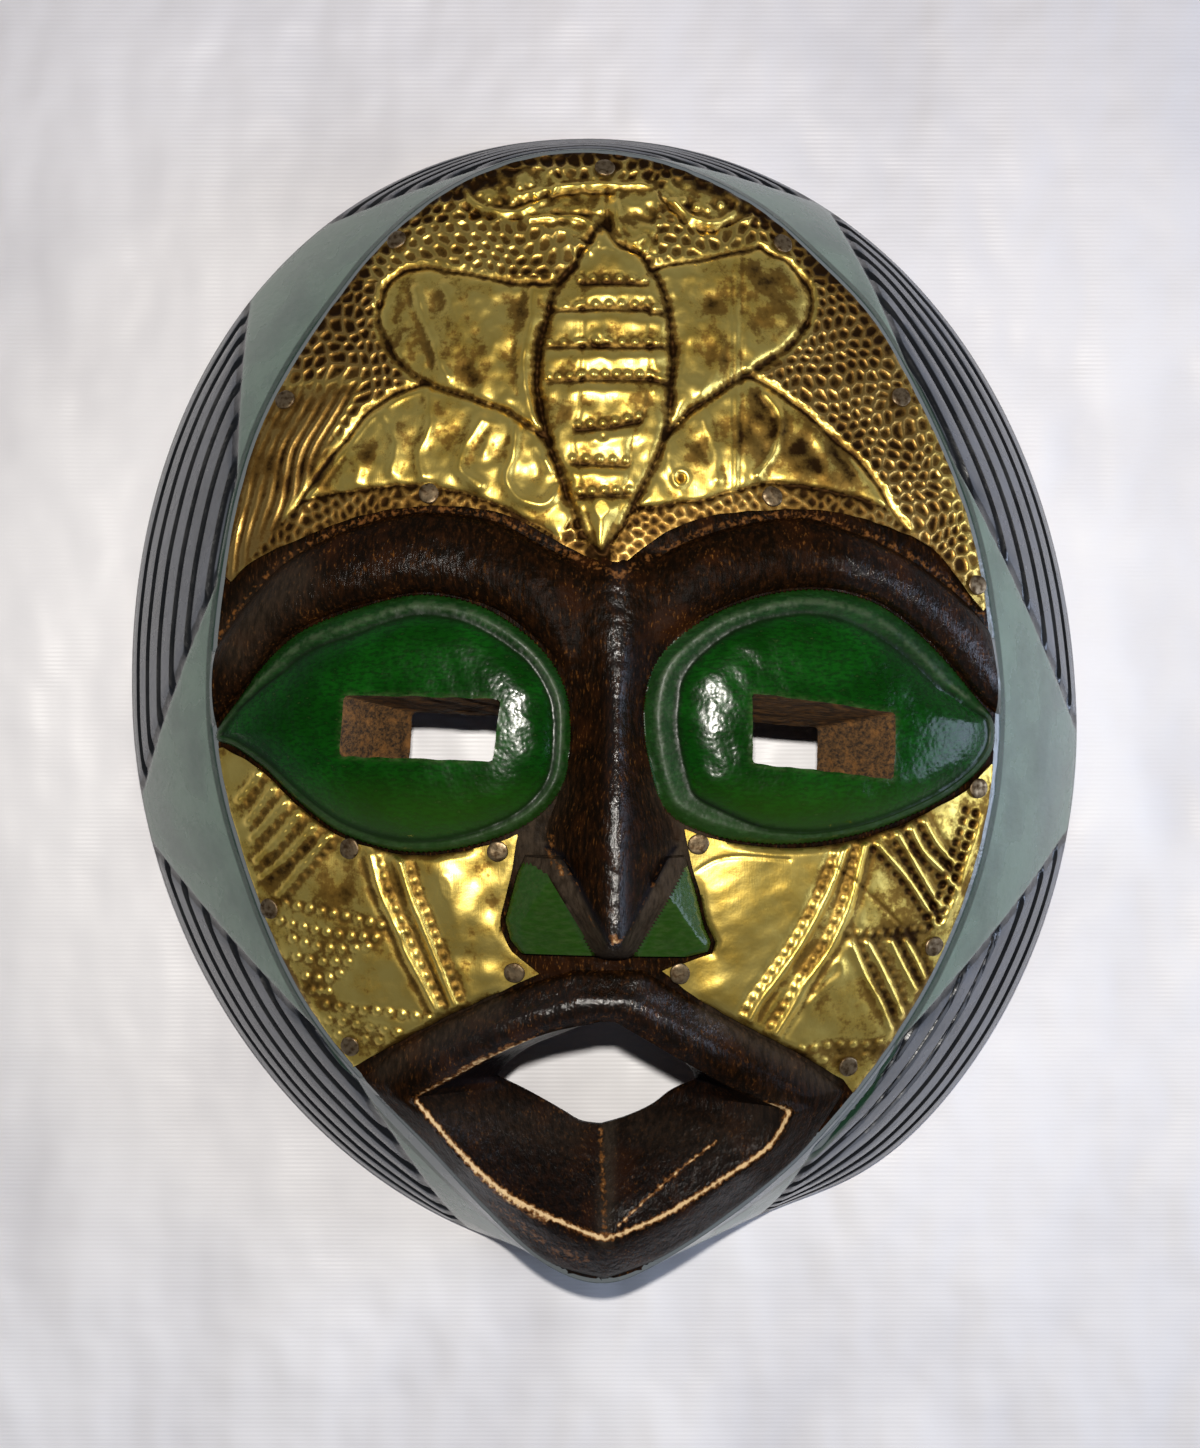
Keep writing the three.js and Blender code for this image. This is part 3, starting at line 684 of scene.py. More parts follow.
def mouth_height(points):
    """The height of the mouth frame and funnel, and where they are."""
    offset = points - MOUTH_CENTRE
    turn = np.arctan2(offset[:, 1], offset[:, 0])
    radius = np.hypot(*offset.T)
    outer = reach_from(MOUTH_CENTRE, mouth_outer)(turn)
    opening = reach_from(MOUTH_CENTRE, mouth_opening)(turn)
    hole = reach_from(MOUTH_CENTRE, mouth_hole)(turn)
    base = face_height(points)
    across = np.clip((outer - radius) / (outer - opening), 0, 1)
    is_upper = eased(-0.07, 0.05, np.sin(turn - 0.02))
    upper = np.interp(across, *zip(*UPPER_ARM))
    lower = np.interp(across, *zip(*LOWER_ARM))
    arm = base + upper * is_upper + lower * (1 - is_upper)
    lip_points = MOUTH_CENTRE + offset * (opening / np.maximum(radius, 1e-6))[:, None]
    lip = face_height(lip_points) + UPPER_ARM[-1][1] * is_upper + LOWER_ARM[-1][1] * (1 - is_upper)
    down = np.clip((opening - radius) / np.maximum(opening - hole, 0.3), 0, 1)
    cut = cut_level(MOUTH_CENTRE[1] + hole * np.sin(turn))
    chamfered = eased(-0.12, -0.3, turn) * eased(-1.62, -1.5, turn)
    plain = lip + (cut - lip) * (down**0.92 + 0.05 * np.sin(np.pi * down))
    below = lip - FACET_DEPTH
    stepped = np.where(
        down < FACET_SHARE,
        lip - FACET_DEPTH * down / FACET_SHARE,
        below + (cut - below) * (down - FACET_SHARE) / (1 - FACET_SHARE),
    )
    funnel = plain * (1 - chamfered) + stepped * chamfered
    within = radius < outer
    lifted = np.where(radius >= opening, arm, funnel)
    return np.where(within, lifted, 0), within


# %% The whole carved surface


def smooth_max(a, b, blend):
    """The higher of two heights, with a rounded valley where they meet."""
    return 0.5 * (a + b + np.sqrt((a - b) ** 2 + blend**2)) - 0.5 * blend * np.exp(-np.abs(a - b) / blend)


def carved_height(points):
    """The finished wood surface: face, brows, eyes, nose, nostrils and mouth."""
    base = face_height(points)
    brow = np.maximum(brow_lift(points, "left"), brow_lift(points, "right"))
    nose, in_nose = nose_lift(points)
    nostril = nostril_lift(points)
    under = undercut_lift(points, nostril)
    eyes = np.maximum(eye_lift(points, "left"), eye_lift(points, "right"))
    both = (brow > 0) & (nose > 0)
    lift = np.maximum(np.maximum(brow, nose), eyes)
    lift = np.where(both, smooth_max(brow, nose, 2.2), lift)
    lift = np.where(in_nose, lift, np.maximum(lift, np.maximum(nostril, under)))
    height = base + lift
    mouth, in_mouth = mouth_height(points)
    return np.where(in_mouth, mouth, height)


# %% [markdown]
# ## Meshing the face
#
# Points are set where the carving needs them: two rows hug every cut edge so that it stays
# crisp, a fine grid fills what can be seen and a coarse one what the brass hides. A Delaunay
# triangulation joins them. That spends the triangles on edges that catch the light.

# %% Points for the face
EDGE_GAP = 0.2
EDGE_STEP = 0.6
FINE = 0.8
COARSE = 3.0
BAND_COLUMNS = 590
OPENING_STEP = 0.9
SLOT_ROUNDING = 0.9
SLOT_RAGGED = 0.14


def hex_points(low, high, step):
    """A grid of points in offset rows."""
    rows = np.arange(low[1], high[1], step * 0.866)
    columns = np.arange(low[0], high[0], step)
    grid_x, grid_y = np.meshgrid(columns, rows)
    grid_x[1::2] += step / 2
    return np.column_stack([grid_x.ravel(), grid_y.ravel()])


def slot_corners(eye):
    """The slot's outline at the level where the corners are given, its corners a little round."""
    soft = []
    corners = np.array(eye["slot"], float)
    for before, corner, after in zip(np.roll(corners, 1, 0), corners, np.roll(corners, -1, 0)):
        back = (before - corner) / np.hypot(*(before - corner))
        ahead = (after - corner) / np.hypot(*(after - corner))
        soft.append(corner + SLOT_ROUNDING * back)
        soft.append(corner + 0.22 * (back + ahead))
        soft.append(corner + SLOT_ROUNDING * ahead)
    line = spaced(np.array(soft), OPENING_STEP, closed=True)
    return line + SLOT_RAGGED * np.column_stack([uneven(line, 3, 5), uneven(line, 3, 6)])


def slot_at(eye, line, surface):
    """Where the slanted slot meets a surface above or below the level of its corners."""
    drop = np.zeros(len(line))
    for _ in range(25):
        place = line + np.column_stack([eye["slant"] * drop, -SLOT_RISE * drop])
        drop = 0.5 * drop + 0.5 * (SLOT_TOP - surface(place))
    return line + np.column_stack([eye["slant"] * drop, -SLOT_RISE * drop]), SLOT_TOP - drop


slots = {}
for side, eye in EYES.items():
    line = slot_corners(eye)
    front, front_z = slot_at(eye, line, carved_height)
    back, back_z = slot_at(eye, line, hollow_height)
    slots[side] = {"front": front, "front_z": front_z, "back": back, "back_z": back_z}
    print(side, "slot: top", front_z.round(1).max(), "bottom", back_z.round(1).min())

mouth_edge = spaced(mouth_hole, OPENING_STEP, closed=True)
mouth_edge_z = cut_level(mouth_edge[:, 1])

# %% Lines that the triangles follow
band_turns = np.linspace(0, 2 * np.pi, BAND_COLUMNS, endpoint=False)
outward = directions(band_turns)
face_loop = ring(face_reach(band_turns), band_turns)

nose_left_line = spline([(x, y) for y, x in NOSE_LEFT[:-2]])
nose_right_line = spline([(x, y) for y, x in NOSE_RIGHT[:-2]])

cut_edges = [
    (brow_lines["left"][0], False),
    (brow_lines["left"][1], False),
    (brow_lines["right"][0], False),
    (brow_lines["right"][1], False),
    (eye_loops["left"], True),
    (eye_loops["right"], True),
    (nose_left_line, False),
    (nose_right_line, False),
    (nose_v, False),
    (np.array(NOSTRIL_OUTLINE, float), True),
    (mouth_outer, True),
]
SECOND_CHAMFER = [(3, -114), (10, -108), (16.5, -102.5), (25, -96)]
single_lines = [(mouth_opening, True), (spline(SECOND_CHAMFER), False)]
for lines in lids.values():
    for line in lines.values():
        for offset in (-0.35, 0.35):
            single_lines.append((beside(line, offset, closed=True), True))
print("cut edges:", len(cut_edges), "soft edges:", len(single_lines))

# %% Thinning the points


def inset(points, distance):
    """Which points are on the face and at least a distance inside its edge."""
    turn, radius = polar(points)
    return radius < face_reach(turn) - distance


def far_from(points, others, gap):
    """Drops the points that are closer than a gap to any of the others."""
    cells = {}
    for x, y in others:
        cells.setdefault((int(x // gap), int(y // gap)), []).append((x, y))
    keep = np.ones(len(points), bool)
    for k, (x, y) in enumerate(points):
        column = int(x // gap)
        row = int(y // gap)
        around = [(column + dx, row + dy) for dx in (-1, 0, 1) for dy in (-1, 0, 1)]
        near = [place for key in around for place in cells.get(key, ())]
        keep[k] = all((nx - x) ** 2 + (ny - y) ** 2 >= gap * gap for nx, ny in near)
    return points[keep]


edge_rows = []
for line, closed in cut_edges:
    even = spaced(line, EDGE_STEP, closed)
    edge_rows.append(beside(even, EDGE_GAP, closed))
    edge_rows.append(beside(even, -EDGE_GAP, closed))
for line, closed in single_lines:
    edge_rows.append(spaced(line, 0.62, closed))
for distance in (0.55, 1.1, 1.8):
    edge_rows.append(ring(face_reach(band_turns) - distance, band_turns))
rows = np.vstack(edge_rows)
rows = rows[inset(rows, 0.5)]

holes = [slots["left"]["front"], slots["right"]["front"], mouth_edge]
loops = [face_loop] + holes
loop_points = np.vstack(loops)

fine = hex_points((-92, -132), (92, 133), FINE)
fine = fine[inset(fine, 2.2)]
fine = fine[~under_brass(fine, 1.6)]
coarse = hex_points((-92, -132), (92, 133), COARSE)
coarse = coarse[under_brass(coarse, 2.2)]
coarse = far_from(coarse, fine, COARSE * 0.6)
rows = far_from(rows, loop_points, 0.3)
fine = far_from(fine, np.vstack([rows, loop_points]), 0.5)
coarse = far_from(coarse, rows, COARSE * 0.5)
print("face points: edges", len(rows), "fine", len(fine), "coarse", len(coarse))

# %% Triangulating a region


def triangulate(loops, free):
    """Triangles of the region inside the first loop and outside the others."""
    start = 0
    edges = []
    for loop in loops:
        count = len(loop)
        edges += [(start + i, start + (i + 1) % count) for i in range(count)]
        start += count
    points = np.vstack(list(loops) + [free])
    made = delaunay_2d_cdt([Vector(p) for p in points], edges, [], 0, 1e-5, True)
    places = np.array([tuple(v) for v in made[0]])
    triangles = np.array([tuple(t) for t in made[2] if len(t) == 3])
    centres = places[triangles].mean(1)
    keep = inside(centres, loops[0])
    for hole in loops[1:]:
        keep &= ~inside(centres, hole)
    source = np.array([min(ids) if len(ids) else -1 for ids in made[3]])
    given = source >= 0
    places[given] = points[source[given]]
    return places, triangles[keep], source


face_places, face_triangles, face_source = triangulate(loops, np.vstack([rows, fine, coarse]))
print("face triangles:", len(face_triangles))

# %% [markdown]
# ## The wood as one closed body
#
# Front, side band, flat rim, hollow back and the walls of the three openings are joined into
# one skin. The grooves of the band are real cuts: they run parallel to the rim and only in the
# dark triangles of its zigzag. The hollow keeps soft gouge marks, as hidden faces usually do.

# %% Surfaces of the body
# Shares run from the face edge, 0, to the rim, 1. The zigzag gives directions in degrees at
# which its border stands at the one or the other, and the chamfer its width in mm.
GROOVE_SHARES = [0.1, 0.26, 0.42, 0.58, 0.74, 0.89]
GROOVE_HALF_WIDTH = 1.25
GROOVE_DEPTH = 1.1
GROOVE_STEPS = (-1.3, -1, -0.75, -0.5, -0.25, 0, 0.25, 0.5, 0.75, 1, 1.3)
BORDER_CUT = 0.6
NOTCH_PITCH = 2.6
BAND_SLOPE = 45
BAND_ACROSS = 22
CHAMFER = [
    (228, 0), (240, 4), (250, 5.5), (262, 4), (270, 3), (280, 4.5), (298, 5.5), (306, 4), (314, 0.3),
]
ZIGZAG = [
    (41.5, 0), (47.9, 0), (67.3, 1), (88, 0), (98.3, 0), (119.7, 1), (128.8, 1), (146.7, 0), (156.6, 0),
    (188.3, 1), (192.6, 1), (228.4, 0), (231.9, 0), (255.1, 1), (287.2, 1), (298, 0), (311.1, 0),
    (349.2, 1), (359.3, 1),
]


class Skin:
    """Collects vertices, faces and the measures painted on them."""

    def __init__(self):
        self.vertices = []
        self.faces = []
        self.kinds = []
        self.measures = {}
        self.count = 0

    def add(self, places, faces, kind, **measures):
        """Adds a patch of skin. A measure that it doesn't carry is 0 on it."""
        start = self.count
        self.vertices.append(places)
        self.faces.append(np.array(faces) + start)
        kinds = np.full(len(faces), kind) if np.isscalar(kind) else kind
        self.kinds.append(kinds)
        for name in set(self.measures) | set(measures):
            self.measures.setdefault(name, [np.zeros(start)] if start else [])
            values = measures.get(name, np.zeros(len(places)))
            self.measures[name].append(values)
        self.count += len(places)

    def mesh(self, name, merge=1e-3):
        """One mesh in metres in the shared frame. Vertices closer than `merge` mm are one."""
        places = np.vstack(self.vertices)
        key = np.round(places / merge).astype(np.int64)
        _, first, back = np.unique(key, axis=0, return_index=True, return_inverse=True)
        back = back.ravel()
        corners = []
        kinds = []
        for faces, kind in zip(self.faces, self.kinds):
            welded = back[faces]
            if welded.shape[1] == 3:
                whole = (welded != np.roll(welded, 1, axis=1)).all(1)
                welded = welded[whole]
                kind = kind[whole]
            corners += [tuple(f) for f in welded.tolist()]
            kinds.append(kind)
        mesh = bpy.data.meshes.new(name)
        mesh.from_pydata((places[first] + SHIFT) / 1000, [], corners)
        mesh.polygons.foreach_set("material_index", np.concatenate(kinds).astype(np.int32))
        for label, parts in self.measures.items():
            values = np.concatenate(parts)[first]
            layer = mesh.attributes.new(label, "FLOAT", "POINT")
            layer.data.foreach_set("value", values.astype(np.float32))
        return mesh


def ring_faces(size, start_a, start_b, flip=False):
    """Quads between two rings of vertices, the first below or outside the second."""
    i = np.arange(size)
    j = (i + 1) % size
    quads = np.column_stack([start_a + i, start_a + j, start_b + j, start_b + i])
    return quads[:, ::-1] if flip else quads


def tube_faces(size, rows, flip=False):
    """Quads of a tube whose rings follow one another."""
    return np.vstack([ring_faces(size, row * size, (row + 1) * size, flip) for row in range(rows)])


def keep_given(heights, source, given):
    """Gives the points that came from the outlines their exact heights back."""
    known = (source >= 0) & (source < len(given))
    heights[known] = given[source[known]]


STAINED, PAINTED, BAND, RAW, BACK = range(5)
BORDER_NONE = 9.0
UNDER_BRASS_DEPTH = 1.3

# %% Heights of the front
front_z = carved_height(face_places)
hidden = under_brass(face_places, 1.4)
tool_marks = 0.07 * uneven(face_places, 2.6, 11) + 0.1 * uneven(face_places, 7, 12)
front_z = front_z - UNDER_BRASS_DEPTH * hidden
front_z = front_z + np.where(hidden, 0, tool_marks)
turn, radius = polar(face_places)
from_edge = radius - face_reach(turn)
keep_given(front_z, face_source, np.concatenate([
    face_height(face_loop), slots["left"]["front_z"], slots["right"]["front_z"], mouth_edge_z,
]))
print("front: %.1f to %.1f mm high" % (front_z.min(), front_z.max()))

# %% Wear, polish and dust on the front, and painted shade
wear = np.zeros(len(face_places))
polish = np.zeros(len(face_places))


def marked(values, line, width, strength, closed=False):
    """Raises a painted measure along a line, softly over a width."""
    gap = measure(face_places, line, closed, reach=4 * width)[0]
    np.maximum(values, strength * bell(gap, width), out=values)


opening_gap = measure(face_places, mouth_opening, closed=True, reach=4)[0]
lower_opening = eased(-84.5, -87, face_places[:, 1])
upper_left_opening = eased(-13, -17, face_places[:, 0]) * eased(-86, -84, face_places[:, 1])
edge_wear = bell(opening_gap, 0.55)
wear = np.maximum(wear, edge_wear * (lower_opening + 0.75 * upper_left_opening))
for line, width, strength in (
    ([(-31, -99.8), (-22.5, -107.6), (-13, -112.8)], 1.1, 0.62),
    ([(-24, -110.5), (-14, -118.5), (-5, -122.5)], 2.6, 0.4),
    (SECOND_CHAMFER, 0.35, 0.7),
    ([(-32, -78.7), (-29, -77), (-24, -74.4), (-20, -72.6)], 1.0, 0.6),
    ([(-13, -69.2), (0, -65.5), (12, -71), (22, -77)], 0.7, 0.25),
    ([(-8.6, -31.2), (1.5, -48.8), (13, -31.5)], 0.4, 0.35),
    ([(-9, -34), (-12, -30), (-11.5, -27)], 1.2, 0.5),
    ([(0, -117), (-0.5, -104), (-1, -95)], 0.8, 0.5),
):
    marked(wear, spline(line), width, strength)
for side, gap in (("left", 0.9), ("right", -0.9)):
    marked(wear, beside(brow_lines[side][0], gap), 1.2, 0.42)
marked(wear, mouth_outer, 0.6, 0.2, closed=True)

# The varnish shines most on the ridge of the nose, the upper lip, the right brow and the chin.
for line, width, strength in (
    ([(3, 30), (2.6, 5), (2.2, -20), (2, -49)], 1.8, 1.0),
    ([(-34, -76), (-20, -68.5), (-8, -63.5), (0, -62.2), (9, -63.5), (20, -70)], 5.5, 1.0),
    ([(58, 29), (72, 20), (84, 8)], 7, 1.0),
    ([(-34, -96), (-18, -106), (0, -112), (16, -104), (32, -92)], 9, 0.3),
    ([(-70, 27), (-50, 34), (-34, 34)], 6, 0.2),
    ([(-30, -104), (-14, -119), (0, -124.5), (14, -119), (30, -106)], 4.5, 0.7),
):
    marked(polish, spline(line), width, strength)

# Dust has settled in the valleys. Shade is painted in near-black along the cut V of the nose
# and in the funnel of the mouth, most under the upper lip.
in_nose = nose_lift(face_places)[1]
v_gap = measure(face_places, nose_v)[0]
film = 1.0 * ((v_gap < UNDERCUT) & (face_places[:, 1] < -28) & ~in_nose)
for line, width, strength in (
    ([(-14, -17), (-17, -25), (-16, -31)], 4.5, 0.9),
    ([(15, -17), (18.5, -25), (17.5, -31)], 4.5, 0.9),
    ([(-83, 15), (-76, 24), (-68, 30)], 5, 0.6),
    ([(-50, -80), (-38, -72), (-24, -64)], 2.5, 0.5),
    ([(22, -66), (38, -75), (50, -83)], 2.5, 0.7),
    ([(1, -94), (0.5, -106), (0, -117)], 1.8, 1.0),
    ([(8, -94), (24, -96), (36, -90)], 5, 0.35),
    ([(-8, -96), (-24, -92), (-36, -90)], 5, 0.35),
):
    marked(film, spline(line), width, strength)
funnel_share = inside(face_places, mouth_opening) * eased(0.2, 1.0, opening_gap)
soot = bell(v_gap, 0.55) * (face_places[:, 1] < -28)
soot = np.maximum(soot, 0.85 * funnel_share * (face_places[:, 1] > -84))
soot = np.maximum(soot, 0.3 * funnel_share)

# The tip of the nose is worn through to the wood.
wear = np.maximum(wear, 0.8 * bell(away_from(face_places, 2, -47.5), 1.2))
print("points worn to the wood:", int((wear > 0.5).sum()), "polished:", int((polish > 0.5).sum()))

# %% Where the green paint is rubbed, and what each triangle is painted
marks = [np.maximum(a, b) for a, b in zip(*(lid_marks(face_places, side) for side in EYES))]
rub = np.zeros(len(face_places))
for side, loop in eye_loops.items():
    gap = measure(face_places, slots[side]["front"], closed=True, reach=3)[0]
    rub = np.maximum(rub, bell(gap, 0.7))
    gap = measure(face_places, loop, closed=True, reach=6)[0]
    rub = np.maximum(rub, 0.4 * bell(gap, 0.9))
in_nostrils = inside(face_places, np.array(NOSTRIL_OUTLINE, float))
rub = np.maximum(rub, 0.45 * in_nostrils)
# Painted light: lower down, the eyes and the nostrils are mixed towards a lighter olive.
low = 0.6 * eased(-10, -26, face_places[:, 1])

centres = face_places[face_triangles].mean(1)
kind = np.full(len(face_triangles), STAINED)
kind[inside(centres, eye_loops["left"]) | inside(centres, eye_loops["right"])] = PAINTED
in_block = inside(centres, np.array(NOSTRIL_OUTLINE, float)) & ~nose_lift(centres)[1]
in_block &= (measure(centres, nose_v)[0] >= UNDERCUT) & (centres[:, 1] < NOSTRIL_PAINT_TOP)
kind[in_block] = PAINTED
kind[~inset(centres, 1.1)] = BAND

body = Skin()
body.add(
    np.column_stack([face_places, front_z]),
    face_triangles,
    kind,
    wear=wear,
    polish=polish,
    film=film,
    soot=soot,
    border=np.full(len(face_places), BORDER_NONE),
    rib=np.full(len(face_places), BORDER_NONE),
    from_edge=from_edge,
    line=marks[0],
    lid=marks[1],
    valley=marks[2],
    rub=rub,
    low=low,
)

# %% The side band with its grooves


def zigzag_loop():
    """The outline of the sage facets: straight cuts between the face edge and the rim."""
    loop = []
    for (degrees, level), (ahead, ahead_level) in zip(ZIGZAG, ZIGZAG[1:] + [(ZIGZAG[0][0] + 360, 0)]):
        turns = np.radians(np.linspace(degrees, ahead, 24))
        reach = rim_reach(turns) + 1.2 if level else face_reach(turns)
        curve = ring(reach, turns)
        loop.append(curve[:-1] if level == ahead_level else curve[:1])
    return np.vstack(loop)


def zigzag_gap(places):
    """Signed distance in mm to the border of the zigzag, positive in the dark triangles."""
    loop = zigzag_loop()
    gap = measure(places, loop, closed=True)[0]
    return np.where(inside(places, loop), -gap, gap)


band_shares = {0.0, 0.015, 0.03, 0.045, 0.06, 1.0}
for share in GROOVE_SHARES:
    for offset in GROOVE_STEPS:
        band_shares.add(round(share + offset * GROOVE_HALF_WIDTH / BAND_SLOPE, 5))
for low_share, high_share in zip([0.0] + GROOVE_SHARES, GROOVE_SHARES + [1.0]):
    band_shares.add(round((low_share + high_share) / 2, 5))
band_shares = sorted(band_shares)

rings = []
band_border = []
band_rib = []
band_edge = []
wobble = 0.12 * uneven(face_loop, 9, 21)
band_degrees = np.degrees(band_turns)
chamfer_width = np.interp(band_degrees, *zip(*CHAMFER), period=360)
notch_zone = eased(296, 304, band_degrees) * eased(346, 336, band_degrees)
tilt = math.atan2(FACE_EDGE_HEIGHT - RIM_LIP, BAND_ACROSS)
for share in band_shares:
    radius, height, slope = band_place(band_turns, share)
    plan = ring(radius, band_turns)
    gap = zigzag_gap(plan)
    nearest = np.min([np.abs(share - g) for g in GROOVE_SHARES]) * slope
    in_dark = eased(0.3, 1.6, gap)
    notched = (0.5 + 0.5 * np.sin(band_turns * radius / NOTCH_PITCH * 2 * np.pi)) ** 2
    notched = notch_zone * (share < 0.5) * notched
    cut = GROOVE_DEPTH * np.clip(1 - (nearest / GROOVE_HALF_WIDTH) ** 2, 0, 1) * in_dark
    cut = cut * (1 - 0.75 * notched)
    cut = cut + BORDER_CUT * bell(gap - 0.9, 0.8) * (0.03 < share < 0.985)
    cut = np.where((share <= 0.0) | (share >= 1.0), 0, cut - 0.5 * wobble)
    plan = plan - (cut * math.sin(tilt))[:, None] * outward
    height = height - cut * math.cos(tilt)
    rings.append(np.column_stack([plan, height]))
    band_border.append(gap)
    band_rib.append(np.where(gap > 0.8, nearest + 1.5 * notched, BORDER_NONE))
    band_edge.append(share * slope - chamfer_width)

body.add(
    np.vstack(rings),
    tube_faces(BAND_COLUMNS, len(rings) - 1, flip=True),
    BAND,
    border=np.concatenate(band_border),
    rib=np.concatenate(band_rib),
    from_edge=np.concatenate(band_edge),
)
print("band rows:", len(band_shares))

# %% The flat of the rim and the hollow back
HOLLOW_SHARES = [0.9985, 0.992, 0.98, 0.96, 0.93]
BACK_STEP = 2.6
GOUGE_DEPTH = 0.28

rim = ring(rim_reach(band_turns), band_turns)
inner = ring(full_rim_reach(band_turns) - RIM_FLAT, band_turns)
rim_rings = [
    np.column_stack([rim, np.full(BAND_COLUMNS, RIM_LIP)]),
    np.column_stack([rim, np.full(BAND_COLUMNS, 0.6)]),
    np.column_stack([rim - 0.5 * outward, np.zeros(BAND_COLUMNS)]),
    np.column_stack([inner + 0.6 * outward, np.zeros(BAND_COLUMNS)]),
    np.column_stack([inner, np.full(BAND_COLUMNS, 0.5)]),
]
for share in HOLLOW_SHARES:
    plan = HUB + share * (inner - HUB)
    rim_rings.append(np.column_stack([plan, hollow_height(plan)]))
body.add(np.vstack(rim_rings), tube_faces(BAND_COLUMNS, len(rim_rings) - 1, flip=True), BACK)

back_loop = rim_rings[-1][:, :2]
back_loops = [back_loop, slots["left"]["back"], slots["right"]["back"], mouth_edge]
back_free = hex_points((-110, -135), (110, 138), BACK_STEP)
turn, radius = polar(back_free)
back_free = back_free[radius < HOLLOW_SHARES[-1] * (full_rim_reach(turn) - RIM_FLAT) - 1.4]
back_free = far_from(back_free, np.vstack(back_loops[1:]), 1.3)
back_places, back_triangles, back_source = triangulate(back_loops, back_free)
gouged = GOUGE_DEPTH * uneven(back_places, 11, 31) * eased(0.95, 0.85, polar(back_places)[1] / 130)
back_z = hollow_height(back_places) + gouged
mouth_back_z = np.minimum(hollow_height(mouth_edge), mouth_edge_z - 0.8)
keep_given(back_z, back_source, np.concatenate([
    rim_rings[-1][:, 2], slots["left"]["back_z"], slots["right"]["back_z"], mouth_back_z,
]))
body.add(np.column_stack([back_places, back_z]), back_triangles[:, ::-1], BACK)
print("back triangles:", len(back_triangles))

# %% The walls of the openings
WALL_ROWS = 22


def add_wall(front, front_z, back, back_z, rows, roughness, seed, kind):
    """The wall of an opening, from its edge in the face down to the hollow, torn by the knife."""
    rings = []
    for row in range(rows + 1):
        t = row / rows
        plan = front * (1 - t) + back * t
        height = front_z * (1 - t) + back_z * t
        if 0 < row < rows:
            along = np.column_stack([np.arange(len(plan)) * OPENING_STEP, height])
            away = plan - plan.mean(0)
            away /= np.hypot(*away.T)[:, None]
            torn = uneven(along, 3.5, seed) + 1.4 * t**3 * uneven(along, 2.0, seed + 1)
            plan = plan + (roughness * torn)[:, None] * away
        rings.append(np.column_stack([plan, height]))
    body.add(np.vstack(rings), tube_faces(len(front), rows, signed_area(front) < 0), kind)


for slot in slots.values():
    add_wall(slot["front"], slot["front_z"], slot["back"], slot["back_z"], WALL_ROWS, 0.22, 41, RAW)
add_wall(mouth_edge, mouth_edge_z, mouth_edge, mouth_back_z, 2, 0, 43, STAINED)
print("points of the whole skin:", body.count)

# %% [markdown]
# ## Objects and their closed skins
#
# A mesh becomes a piece of the mask here: it rides on the mask's one body, stands for the plain
# solid of the frame, which it hides, and takes the finishes it is given. Faces that meet at a
# steep angle keep a sharp edge, and the rest is shaded smooth.

# %% Making a piece


def open_edges(mesh):
    """How many edges don't have exactly two faces: none on a closed skin."""
    counts = np.zeros(len(mesh.edges), int)
    loop_edges = np.zeros(len(mesh.loops), int)
    mesh.loops.foreach_get("edge_index", loop_edges)
    np.add.at(counts, loop_edges, 1)
    return int((counts != 2).sum())


def piece(name, mesh, materials, replaced, crease=40):
    """Places one mesh in the scene with its finishes, and hides the parts of the frame it stands for."""
    made = bpy.data.objects.new(name, mesh)
    bpy.context.scene.collection.objects.link(made)
    for material in materials:
        mesh.materials.append(material)
    mesh.shade_smooth()
    mesh.set_sharp_from_angle(angle=math.radians(crease))
    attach(made, "root")
    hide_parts(*replaced)
    triangles = sum(len(p.vertices) - 2 for p in mesh.polygons)
    print(name, "triangles", triangles, "open edges", open_edges(mesh))


# %% [markdown]
# ## The embossed brass
#
# Thin brass is laid on pitch or soft wood and worked from both sides: round punches raise the
# beads, a blunt liner pushes up the ridges, and a tracer sinks the dark contour lines. The
# figure is a winged insect: a body in beaded rings between four smooth wings on a stamped
# ground. All of it is relief, so it is mesh here, with a point about every 0.45 mm.

# %% The tools that raise and sink the metal


def drawn(line, smooth=True):
    """A line as a tool follows it: a smooth curve, or straight where it has two points."""
    return spline(line) if smooth and len(line) > 2 else np.array(line, float)


